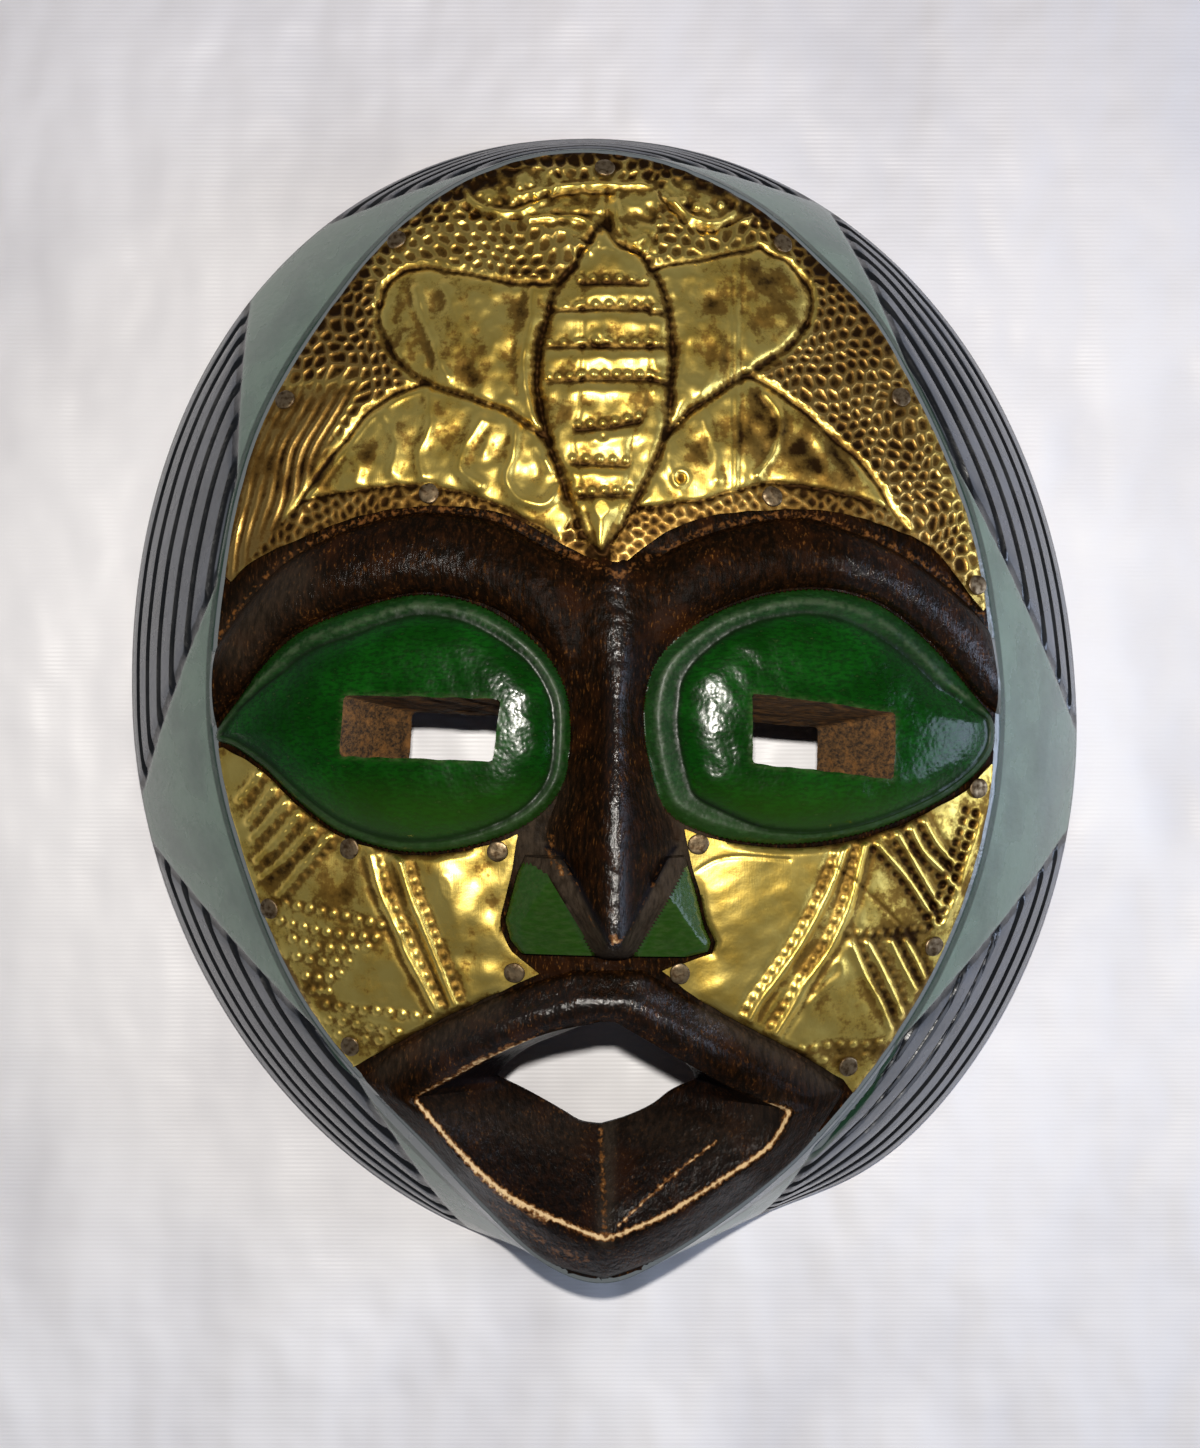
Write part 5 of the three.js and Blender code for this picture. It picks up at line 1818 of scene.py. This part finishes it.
RIGHT_SOIL = [
    ([(53.5, -48.6), (60, -49.2), (67, -48.7), (71, -48.6)], 1.6, 0.5),
    ([(43.5, -76), (51.5, -76), (61.5, -76)], 2.6, 0.45),
    ([(45, -64), (48.5, -60.5), (52, -58)], 1.4, 0.2),
]
RIGHT_STROKES = [
    ([(45, -64), (48.5, -60.5), (52, -58), (51.5, -55), (49, -56.5), (46.5, -61)], 1.1, 0.4),
    ([(50.5, -34), (56, -38), (61, -42.5), (65.5, -47)], 0.35, -0.3),
    ([(19.5, -34.5), (24, -32), (29, -31.2), (40, -32)], 0.35, -0.3),
]
RIGHT_DENTS = [
    (36, -36, 3.5, -0.3), (30, -44, 6, 0.4), (24, -60, 3, 0.5), (38, -44, 3.5, -0.3), (60, -57, 3, -0.2),
]


def right_cheek_relief(points):
    """Two long ribs, two fans of bars and a row of deep dots along the face edge."""
    metal = Relief(points)
    metal.swell = bulge(points, 16, 80, 1.3)
    metal.height += 0.14 * uneven(points, 8, 71) + 0.06 * uneven(points, 2.5, 72)
    for line, height in RIGHT_RIBS:
        rib(metal, line, -1, height)
    for line in RIGHT_FAN:
        path = spline(line)
        metal.stroke(line, 0.75, 0.8)
        metal.punched(beside(path, -1.6), 2.4, 0.9, -0.3, smooth=False)
        metal.soiled(beside(path, -1.6), 1.2, 0.5)
        metal.stroke(beside(path, 1.5), 0.7, -0.25, smooth=False)
    for line in RIGHT_LOWER_FAN:
        path = spline(line)
        metal.stroke(line, 0.85, 0.7)
        metal.stroke(beside(path, 1.5), 0.8, -0.3, smooth=False)
        metal.punched(beside(path, 1.9), 2.5, 0.85, 0.2, smooth=False)
        metal.soiled(beside(path, 1.8), 1.2, 0.42)
    edge = spline(RIGHT_EDGE)
    metal.punched(RIGHT_EDGE, 2.6, 1.05, -0.8)
    metal.stroke(beside(edge, 2.0), 0.7, 0.6, smooth=False)
    metal.punched(beside(edge, -2.6), 2.6, 1.0, -0.5, smooth=False)
    metal.soiled(RIGHT_EDGE, 0.9, 0.3)
    metal.soiled(beside(edge, -2.6), 1.4, 0.45)
    for row in RIGHT_DOT_ROWS:
        metal.punched(*row)
    for line in RIGHT_SOIL:
        metal.soiled(*line)
    metal.strokes(RIGHT_STROKES)
    # Painted light near the nose and painted shade towards the face edge, as less and more tarnish.
    metal.soil -= 0.2 * eased(48, 40, points[:, 0])
    metal.soil += 0.14 * eased(56, 62, points[:, 0])
    metal.spots(RIGHT_DENTS)
    return metal


# %% Making the sheets
RELIEF_LIMITS = (-1.35, 2.3)
BLUR_ROUNDS = 10
UNDERSIDE_DROP = 0.95


def neighbour_mean(count, triangles):
    """A function that gives each point the mean of its neighbours' values."""
    pairs = np.vstack([triangles[:, [0, 1]], triangles[:, [1, 2]], triangles[:, [2, 0]]])
    pairs = np.unique(np.sort(pairs, axis=1), axis=0)
    a = np.concatenate([pairs[:, 0], pairs[:, 1]])
    b = np.concatenate([pairs[:, 1], pairs[:, 0]])
    degree = np.maximum(np.bincount(a, minlength=count), 1)
    return lambda values: np.bincount(a, weights=values[b], minlength=count) / degree


def brass_sheet(edge, corners, relief_of, step, tacks):
    """A closed sheet: the hammered top, a thin edge, and a plain underside a little lower."""
    outline = sheet_outline(edge, corners, step)
    low = outline.min(0)
    high = outline.max(0)
    fill = hex_points(low, high, step)
    fill = fill[inside(fill, outline)]
    fill = fill[measure(fill, outline, closed=True, reach=2)[0] > 0.6 * step]
    places, triangles, _ = triangulate([outline], fill)
    relief = relief_of(places)
    height = relief.height
    to_edge = measure(places, outline, closed=True, reach=4)[0]
    swell = relief.swell
    for x, y in tacks:
        gap = away_from(places, x, y)
        height = height * eased(2.0, 3.6, gap)
        swell = swell * eased(1.5, 12, gap)
    height = np.clip(height + swell, *RELIEF_LIMITS) * (0.25 + 0.75 * eased(0, 1.6, to_edge))
    blur = neighbour_mean(len(places), triangles)
    broad = height
    for _ in range(BLUR_ROUNDS):
        broad = blur(broad)
    deep = broad - height
    height = np.where(to_edge < 1e-6, 0, height)
    print("relief: %.2f to %.2f mm" % (height.min(), height.max()))
    top = face_height(places) + SHEET_GAP + SHEET_THICKNESS + height
    skin = Skin()
    soil = deep + relief.soil
    skin.add(np.column_stack([places, top]), triangles, 0, soil=soil, ground=blur(relief.ground))
    edge_level = face_height(outline)
    size = len(outline)
    rings = [
        np.column_stack([outline, edge_level + SHEET_GAP + SHEET_THICKNESS]),
        np.column_stack([outline, edge_level + SHEET_GAP]),
    ]
    flip = signed_area(outline) > 0
    skin.add(np.vstack(rings), ring_faces(size, 0, size, flip), 0)
    under = hex_points(low, high, COARSE)
    under = under[inside(under, outline)]
    under = under[measure(under, outline, closed=True, reach=3)[0] > 1.2]
    back, back_triangles, source = triangulate([outline], under)
    to_edge = measure(back, outline, closed=True, reach=4)[0]
    back_z = face_height(back) + SHEET_GAP - UNDERSIDE_DROP * eased(0, 1.5, to_edge)
    keep_given(back_z, source, edge_level + SHEET_GAP)
    skin.add(np.column_stack([back, back_z]), back_triangles[:, ::-1], 0)
    return skin


RELIEFS = {
    "forehead": (forehead_relief, 0.47),
    "left_cheek": (left_cheek_relief, 0.45),
    "right_cheek": (right_cheek_relief, 0.45),
}
sheets = {}
for name, (relief_of, step) in RELIEFS.items():
    sheets[name] = brass_sheet(*SHEET_EDGES[name], relief_of, step, TACKS[name])

# %% [markdown]
# ## The tacks
#
# Small iron tacks with hammered, slightly domed heads. Each stands square to the face where it
# was driven, and each head has its own small dents.

# %% Tack shape
TACK_HEAD_RADIUS = 2.3
TACK_SHANK_RADIUS = 0.6
TACK_SHANK_LENGTH = 8.0
TACK_POINT = 1.5
TACK_SEAT = 0.45
TACK_SIDES = 36
TACK_DENTS = 0.06


def tack_skin(x, y, seed):
    """One tack, square to the face at its place: point, shank, rim and domed head."""
    step = TACK_HEAD_RADIUS
    around = np.array([(x + step, y), (x - step, y), (x, y + step), (x, y - step), (x, y)], float)
    heights = face_height(around)
    normal = np.array([(heights[1] - heights[0]) / (2 * step), (heights[3] - heights[2]) / (2 * step), 1.0])
    normal /= np.linalg.norm(normal)
    side = np.cross((0.0, 1.0, 0.0), normal)
    side /= np.linalg.norm(side)
    other = np.cross(normal, side)
    seat = np.array([x, y, heights[4] + SHEET_GAP + SHEET_THICKNESS]) + TACK_SEAT * normal
    profile = [
        (0.05, -TACK_SHANK_LENGTH - TACK_POINT), (TACK_SHANK_RADIUS, -TACK_SHANK_LENGTH),
        (TACK_SHANK_RADIUS, 0), (TACK_HEAD_RADIUS * 0.97, -0.05), (TACK_HEAD_RADIUS, 0.1),
        (TACK_HEAD_RADIUS * 0.985, 0.25),
    ]
    for share in (0.95, 0.88, 0.78, 0.64, 0.48, 0.3, 0.12):
        profile.append((TACK_HEAD_RADIUS * share, 0.32 + 0.24 * (1 - share**5)))
    turn = np.linspace(0, 2 * np.pi, TACK_SIDES, endpoint=False)
    dice = np.random.default_rng(seed)
    squash = 1 + 0.03 * np.sin(2 * turn + dice.uniform(0, 6)) + 0.015 * np.sin(5 * turn + dice.uniform(0, 6))
    rings = []
    for radius, rise in profile:
        reach = radius * squash if radius > 1 else np.full(TACK_SIDES, radius)
        plan = reach[:, None] * directions(turn)
        lift = np.full(TACK_SIDES, rise)
        if rise > 0.2:
            lift = lift + TACK_DENTS * uneven(plan + seed * 7.0, 1.1, 91)
        rings.append(seat + plan[:, :1] * side + plan[:, 1:] * other + lift[:, None] * normal)
    skin = Skin()
    skin.add(np.vstack(rings), tube_faces(TACK_SIDES, len(rings) - 1), 0)
    top = rings[-1].mean(0) + 0.01 * normal
    bottom = rings[0].mean(0)
    i = np.arange(TACK_SIDES)
    j = (i + 1) % TACK_SIDES
    cap = np.column_stack([i, j, np.full(TACK_SIDES, TACK_SIDES)])
    skin.add(np.vstack([rings[-1], top]), cap, 0)
    skin.add(np.vstack([rings[0], bottom]), cap[:, ::-1], 0)
    return skin


# %% [markdown]
# ## Finishes
#
# One helper adds a node and wires its inputs. Another turns sRGB hex values, as on a paint
# card, into the linear colour that light is worked out in. Each finish is mixed from a few
# colours by two kinds of share: soft noise with lumps of a real size, and the measures that the
# mesh carries, such as how worn a place is.

# %% Helpers for materials


def colour(code):
    """#rrggbb as linear light."""
    values = [int(code[i:i + 2], 16) / 255 for i in (1, 3, 5)]
    linear = [v / 12.92 if v <= 0.04045 else ((v + 0.055) / 1.055) ** 2.4 for v in values]
    return (*linear, 1.0)


def node(tree, kind, inputs=None, **settings):
    """Adds one node. An input is a value, or the output of another node."""
    made = tree.nodes.new(kind)
    for key, value in settings.items():
        setattr(made, key, value)
    for key, value in (inputs or {}).items():
        if isinstance(value, bpy.types.NodeSocket):
            tree.links.new(value, made.inputs[key])
        else:
            made.inputs[key].default_value = value
    return made


def mixed(tree, share, a, b):
    """Colour a where share is 0 and colour b where it is 1."""
    made = node(tree, "ShaderNodeMix", {0: share, 6: a, 7: b}, data_type="RGBA")
    return made.outputs[2]


def ranged(tree, value, low, high, to_low=0.0, to_high=1.0):
    """Turns the range from low to high into another one, with soft ends."""
    made = node(
        tree, "ShaderNodeMapRange",
        {"Value": value, "From Min": low, "From Max": high, "To Min": to_low, "To Max": to_high},
        interpolation_type="SMOOTHSTEP",
    )
    return made.outputs[0]


def maths(tree, operation, a, b=0.0):
    """One sum on two values."""
    return node(tree, "ShaderNodeMath", {0: a, 1: b}, operation=operation).outputs[0]


def painted_on(tree, name):
    """A measure that the mesh carries, such as how worn a place is."""
    return node(tree, "ShaderNodeAttribute", attribute_name=name).outputs["Fac"]


def millimetres(tree, stretch=(1, 1, 1)):
    """Object coordinates in millimetres, so that a pattern's size is a real size."""
    place = node(tree, "ShaderNodeTexCoord").outputs["Object"]
    scale = tuple(1000 * s for s in stretch)
    return node(tree, "ShaderNodeMapping", {"Vector": place, "Scale": scale}).outputs[0]


def noise(tree, place, size, detail=2.0, roughness=0.5):
    """Soft noise whose lumps are about `size` mm across."""
    inputs = {"Vector": place, "Scale": 1 / size, "Detail": detail, "Roughness": roughness}
    return node(tree, "ShaderNodeTexNoise", inputs).outputs[0]


def bumped(tree, height, depth_mm, strength=1.0, base=None):
    """A bump of a real depth in mm, over another bump if one is given."""
    inputs = {"Height": height, "Distance": depth_mm / 1000, "Strength": strength}
    if base is not None:
        inputs["Normal"] = base
    return node(tree, "ShaderNodeBump", inputs).outputs[0]


def material(name):
    """A new finish, with its node tree and its shader."""
    made = bpy.data.materials.new(name)
    made.use_nodes = True
    tree = made.node_tree
    shader = tree.nodes["Principled BSDF"]
    return made, tree, shader


def wire(tree, shader, **sockets):
    """Links or sets the shader's sockets by name, with underscores for the spaces."""
    for key, value in sockets.items():
        socket = shader.inputs[key.replace("_", " ")]
        if isinstance(value, bpy.types.NodeSocket):
            tree.links.new(value, socket)
        else:
            socket.default_value = value
    print("nodes in this finish:", len(tree.nodes))


# %% [markdown]
# ### Stained and varnished wood
#
# Almost black brown stain with the grain showing through as fine warm flecks, under a thin
# glossy varnish. Handling has rubbed the edges back to tan wood.

# %% Stained wood
stained, tree, shader = material("stained_varnished_wood")
grain_place = millimetres(tree, (1, 0.3, 1))
round_place = millimetres(tree)
grain = noise(tree, grain_place, 1.1, 6, 0.65)
patches = noise(tree, round_place, 9, 3)
flecks = noise(tree, grain_place, 0.55, 3, 0.6)
worn = painted_on(tree, "wear")
stain = mixed(tree, ranged(tree, grain, 0.4, 0.7), colour("#0c0602"), colour("#221105"))
stain = mixed(tree, ranged(tree, patches, 0.5, 0.75, 0, 0.6), stain, colour("#2e1606"))
fleck_patches = ranged(tree, patches, 0.4, 0.7, 0.1, 0.8)
fleck_share = maths(tree, "MULTIPLY", ranged(tree, flecks, 0.57, 0.72), fleck_patches)
stain = mixed(tree, fleck_share, stain, colour("#6a431a"))
dusty = maths(tree, "MULTIPLY", painted_on(tree, "film"), ranged(tree, grain, 0.3, 0.65, 0.35, 0.9))
stain = mixed(tree, dusty, stain, colour("#3d342a"))
# painted shade: near-black along the V of the nose and in the funnel of the mouth
stain = mixed(tree, painted_on(tree, "soot"), stain, colour("#0d0c0f"))
ragged = maths(tree, "ADD", worn, ranged(tree, noise(tree, round_place, 1.1, 5), 0.3, 0.7, -0.22, 0.2))
stain = mixed(tree, ranged(tree, ragged, 0.3, 0.62), stain, colour("#6b4420"))
stain = mixed(tree, ranged(tree, ragged, 0.55, 0.9), stain, colour("#d8b888"))
skin_bump = bumped(tree, noise(tree, grain_place, 0.7, 5, 0.6), 0.2)
skin_bump = bumped(tree, noise(tree, round_place, 2.6, 3), 0.35, base=skin_bump)
polished = painted_on(tree, "polish")
dull = maths(tree, "ADD", ranged(tree, patches, 0.3, 0.7, 0.36, 0.48), maths(tree, "MULTIPLY", dusty, 0.2))
wire(
    tree, shader, Base_Color=stain, Normal=skin_bump,
    Roughness=dull, Specular_IOR_Level=0.03,
    Coat_Weight=maths(tree, "MULTIPLY", polished, 0.8), Coat_Roughness=0.2, Coat_Normal=skin_bump,
)

# %% [markdown]
# ### Green gloss paint on the eyes and nostrils
#
# Brushed on thickly, so it dried with a fine leathery stipple, and rubbed thin along the lid
# line and round the slots.

# %% Eye paint
eye_paint, tree, shader = material("green_gloss_paint")
place = millimetres(tree)
brushed = millimetres(tree, (0.35, 1, 1))
clouds = noise(tree, place, 12, 3)
strokes = noise(tree, brushed, 0.7, 4, 0.6)
green = mixed(tree, ranged(tree, clouds, 0.35, 0.7), colour("#042f01"), colour("#064203"))
green = mixed(tree, ranged(tree, strokes, 0.35, 0.72, 0, 0.85), green, colour("#021a00"))
# painted light: lighter olive lower down on the eyes and the nostrils
green = mixed(tree, painted_on(tree, "low"), green, colour("#27420e"))
green = mixed(tree, ranged(tree, strokes, 0.62, 0.78, 0, 0.5), green, colour("#35521f"))
streaks = ranged(tree, noise(tree, brushed, 1.0, 5, 0.65), 0.35, 0.75)
thin = maths(tree, "MULTIPLY", painted_on(tree, "rub"), streaks)
green = mixed(tree, maths(tree, "MULTIPLY", thin, 0.6), green, colour("#4a5a34"))
specks = ranged(tree, noise(tree, brushed, 0.8, 5, 0.7), 0.5, 0.7)
lid_colour = mixed(tree, specks, colour("#0c2408"), colour("#234420"))
lid_share = painted_on(tree, "lid")
green = mixed(tree, maths(tree, "MULTIPLY", lid_share, 0.5), green, lid_colour)
gaps = ranged(tree, noise(tree, place, 2.0, 4), 0.35, 0.6, 0.1, 0.6)
broken = maths(tree, "MULTIPLY", painted_on(tree, "line"), gaps)
green = mixed(tree, broken, green, colour("#58644a"))
# painted shade: the valley of the lid is mixed towards near-black green
green = mixed(tree, painted_on(tree, "valley"), green, colour("#0a1406"))
STIPPLE_SIZE = 0.95
stipple_inputs = {"Vector": place, "Scale": 1 / STIPPLE_SIZE, "Randomness": 1.0}
stipple = node(tree, "ShaderNodeTexVoronoi", stipple_inputs, feature="SMOOTH_F1").outputs["Distance"]
paint_bump = bumped(tree, stipple, 0.06)
paint_bump = bumped(tree, noise(tree, place, 2.6, 3), 0.09, base=paint_bump)
gloss = ranged(tree, clouds, 0.3, 0.7, 0.17, 0.27)
wire(
    tree, shader, Base_Color=green, Normal=paint_bump, Specular_IOR_Level=0.25,
    Roughness=maths(tree, "ADD", gloss, maths(tree, "MULTIPLY", lid_share, 0.2)),
)

# %% [markdown]
# ### The painted side band
#
# Sage green triangles and grey ones with black grooves, edged by black lines, a dark green
# strip under the face edge and a bare chamfer on the edge itself. The sage, the grey and the
# pale grey of the chamfer are lighter than the paint and the wood: their own colour with a
# painted reflection of the pale table mixed in. A satin varnish lets the table show in it too.

# %% Band paint
band_paint, tree, shader = material("painted_band")
place = millimetres(tree)
border = painted_on(tree, "border")
rib = painted_on(tree, "rib")
from_edge = painted_on(tree, "from_edge")
clouds = noise(tree, place, 14, 4)
# sage and grey: the paint's and the wood's own colour with a painted reflection of the pale cloth
sage = mixed(tree, ranged(tree, clouds, 0.3, 0.7), colour("#4e6155"), colour("#667b6c"))
grey = mixed(tree, ranged(tree, clouds, 0.3, 0.7), colour("#44474c"), colour("#5a5d64"))
band = mixed(tree, ranged(tree, border, -0.25, 0.1), sage, grey)
from_line = maths(tree, "ABSOLUTE", maths(tree, "SUBTRACT", border, 0.8))
line_share = maths(tree, "SUBTRACT", 1.0, ranged(tree, from_line, 0.75, 1.1))
band = mixed(tree, line_share, band, colour("#0e1012"))
groove_share = ranged(tree, rib, 1.75, 1.2)
band = mixed(tree, groove_share, band, colour("#0c0e10"))
strip = maths(tree, "MULTIPLY", ranged(tree, from_edge, 2.6, 1.8), ranged(tree, from_edge, -0.2, 0.1))
band = mixed(tree, strip, band, colour("#12301c"))
# the chamfer's pale grey is partly a painted reflection on the bare wood
band = mixed(tree, ranged(tree, from_edge, 0.0, -0.3), band, colour("#676d6e"))
band_bump = bumped(tree, noise(tree, millimetres(tree, (1, 1, 0.4)), 1.6, 4), 0.12)
wire(
    tree, shader, Base_Color=band, Normal=band_bump, Specular_IOR_Level=0.75,
    Roughness=ranged(tree, clouds, 0.3, 0.7, 0.2, 0.32),
)

# %% [markdown]
# ### Bare wood in the slots and the plain back
#
# The slots were cut after the painting and never finished, so they show brown fibrous wood.
# The hollow back got one thin coat of stain.

# %% Bare wood and back
bare, tree, shader = material("bare_cut_wood")
fibre_place = millimetres(tree, (0.25, 1, 1))
fibre = noise(tree, fibre_place, 0.8, 6, 0.7)
wood = mixed(tree, ranged(tree, fibre, 0.35, 0.65), colour("#20160b"), colour("#6b4a24"))
fresh = ranged(tree, noise(tree, millimetres(tree), 3, 4), 0.5, 0.68, 0, 0.45)
wood = mixed(tree, fresh, wood, colour("#96642c"))
wire(tree, shader, Base_Color=wood, Roughness=0.75, Normal=bumped(tree, fibre, 0.35))

plain_back, tree, shader = material("thinly_stained_back")
fibre_place = millimetres(tree, (1, 0.12, 1))
fibre = noise(tree, fibre_place, 1.6, 6, 0.6)
wood = mixed(tree, ranged(tree, fibre, 0.35, 0.7), colour("#3a2616"), colour("#6b4a2a"))
wire(tree, shader, Base_Color=wood, Roughness=0.65, Normal=bumped(tree, fibre, 0.2))

# %% [markdown]
# ### Brass
#
# Bright where the metal stands up and is rubbed, brown where tarnish sits in the hollows. The
# stamped ground has gone more coppery than the smooth wings.

# %% Brass
brass, tree, shader = material("embossed_brass")
place = millimetres(tree)
# The tarnish measure also carries painted light and shade on the cheeks and the far right of the forehead.
soil = painted_on(tree, "soil")
ground = painted_on(tree, "ground")
clouds = noise(tree, place, 9, 4, 0.6)
specks = noise(tree, place, 1.3, 5, 0.65)
bright = mixed(tree, ranged(tree, clouds, 0.35, 0.7), colour("#ecd070"), colour("#dcb954"))
bright = mixed(tree, maths(tree, "MULTIPLY", ground, 0.85), bright, colour("#a8834a"))
soiled = maths(tree, "ADD", soil, ranged(tree, specks, 0.3, 0.75, -0.14, 0.2))
soiled = maths(tree, "ADD", soiled, ranged(tree, clouds, 0.42, 0.68, -0.05, 0.34))
metal_colour = mixed(tree, ranged(tree, soiled, 0.06, 0.46, 0, 0.88), bright, colour("#6e4f22"))
metal_colour = mixed(tree, ranged(tree, soiled, 0.45, 1.1), metal_colour, colour("#33210f"))
brushed = noise(tree, millimetres(tree, (1, 0.06, 1)), 0.25, 3)
fine_bump = bumped(tree, brushed, 0.02)
fine_bump = bumped(tree, noise(tree, place, 1.8, 3), 0.07, base=fine_bump)
wire(
    tree, shader, Base_Color=metal_colour, Metallic=1.0, Normal=fine_bump,
    Roughness=maths(tree, "ADD", 0.38, ranged(tree, soiled, 0.0, 0.5, 0, 0.2)),
)

# %% [markdown]
# ### Iron
#
# Dull brown-grey iron.

# %% Iron
iron, tree, shader = material("dull_iron")
place = millimetres(tree)
rust = noise(tree, place, 1.2, 4)
metal_colour = mixed(tree, ranged(tree, rust, 0.35, 0.7), colour("#86745a"), colour("#43321f"))
wire(
    tree, shader, Base_Color=metal_colour, Metallic=0.9, Normal=bumped(tree, rust, 0.08),
    Roughness=ranged(tree, rust, 0.3, 0.7, 0.38, 0.55),
)

# %% Putting the pieces together
piece(
    "carved_body", body.mesh("carved_body"), [stained, eye_paint, band_paint, bare, plain_back],
    ["mask_body"],
)
for side, skin in sheets.items():
    name = f"{side}_embossed_sheet"
    piece(name, skin.mesh(name), [brass], [f"{side}_brass_sheet"], crease=70)
for side, places in TACKS.items():
    for i, (x, y) in enumerate(places, 1):
        name = f"{side}_iron_tack_{i}"
        skin = tack_skin(x, y, i + 10 * len(side))
        piece(name, skin.mesh(name), [iron], [f"{side}_tack_{i}"], crease=50)

# %% [markdown]
# ## The table, the light and the eye
#
# The mask lies on pale satin cloth. A small hard light sits just above the eye, like a lamp
# held over the mask, which gives the short shadows below every edge and the small highlights
# on the eyes and nose. A wide cool window on the right and a dim room fill the rest.

# %% Table
CLOTH_HALF = 1.2
cloth_mesh = bpy.data.meshes.new("cloth")
corners = [(x * CLOTH_HALF, y * CLOTH_HALF, 0) for x, y in ((-1, -1), (1, -1), (1, 1), (-1, 1))]
cloth_mesh.from_pydata(corners, [], [(0, 1, 2, 3)])
cloth = bpy.data.objects.new("cloth", cloth_mesh)
bpy.context.scene.collection.objects.link(cloth)
satin, tree, shader = material("white_satin")
place = millimetres(tree)
folds = noise(tree, millimetres(tree, (1, 0.6, 1)), 60, 3, 0.5)
creases = noise(tree, millimetres(tree, (0.7, 1, 1)), 45, 3, 0.5)
weave = node(tree, "ShaderNodeTexWave", {"Vector": place, "Scale": 0.3}, bands_direction="Y").outputs["Fac"]
cloth_bump = bumped(tree, folds, 9.0)
cloth_bump = bumped(tree, creases, 3.0, base=cloth_bump)
cloth_bump = bumped(tree, weave, 0.03, base=cloth_bump)
cloth_place = node(tree, "ShaderNodeTexCoord").outputs["Object"]
along_cloth = node(tree, "ShaderNodeSeparateXYZ", {0: cloth_place}).outputs["Y"]
# Painted shade: the cloth is darker towards its far end and in the troughs of the folds.
far = ranged(tree, along_cloth, 0.04, 0.17)
white = mixed(tree, far, colour("#f2f1f4"), colour("#dfdde1"))
white = mixed(tree, ranged(tree, folds, 0.55, 0.3, 0, 0.45), white, colour("#c9c7cc"))
wire(tree, shader, Base_Color=white, Roughness=0.42, Normal=cloth_bump)
cloth_mesh.materials.append(satin)
cloth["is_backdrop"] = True

# %% Light


def area_light(name, place, towards, size, watts, tint):
    """A square light in metres and watts, turned towards a point."""
    data = bpy.data.lights.new(name, "AREA")
    data.size = size
    data.energy = watts
    data.color = tint[:3]
    made = bpy.data.objects.new(name, data)
    made.location = place
    made.rotation_euler = (Vector(towards) - Vector(place)).to_track_quat("-Z", "Y").to_euler()
    bpy.context.scene.collection.objects.link(made)
    print(name, "%.2f W, %.0f mm wide" % (watts, 1000 * size))


EYE_HEIGHT = 0.480
area_light("lamp", (0, 0.042, EYE_HEIGHT), (0, 0, 0), 0.014, 2.15, colour("#fffaf2"))
area_light("window", (0.95, -0.06, 0.36), (0, 0, 0.04), 0.45, 4.5, colour("#cfe0ff"))

world = bpy.data.worlds.new("dim_room")
bpy.context.scene.world = world
world.use_nodes = True
tree = world.node_tree
sky_place = node(tree, "ShaderNodeTexCoord").outputs["Generated"]
up = node(tree, "ShaderNodeSeparateXYZ", {0: sky_place}).outputs["Z"]
room = mixed(tree, ranged(tree, up, 0.1, 0.8), colour("#8c919c"), colour("#4b4d54"))
tree.links.new(room, tree.nodes["Background"].inputs["Color"])
tree.nodes["Background"].inputs["Strength"].default_value = 1.0

# %% Eye
LENS = 48.5
SENSOR_WIDTH = 36
camera_data = bpy.data.cameras.new("eye")
camera_data.lens = LENS
camera_data.sensor_width = SENSOR_WIDTH
camera = bpy.data.objects.new("eye", camera_data)
camera.location = (-0.00106, -0.00583, EYE_HEIGHT)
camera.rotation_euler = (0, 0, 0)
bpy.context.scene.collection.objects.link(camera)
bpy.context.scene.camera = camera
bpy.context.scene.view_settings.view_transform = "Standard"
print("eye: %.1f mm lens, %.0f mm above the table" % (LENS, 1000 * EYE_HEIGHT))

# %% Sizes
bpy.context.view_layer.update()
low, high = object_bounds()
print("visual", [round(1000 * v, 2) for v in (*low, *high)])
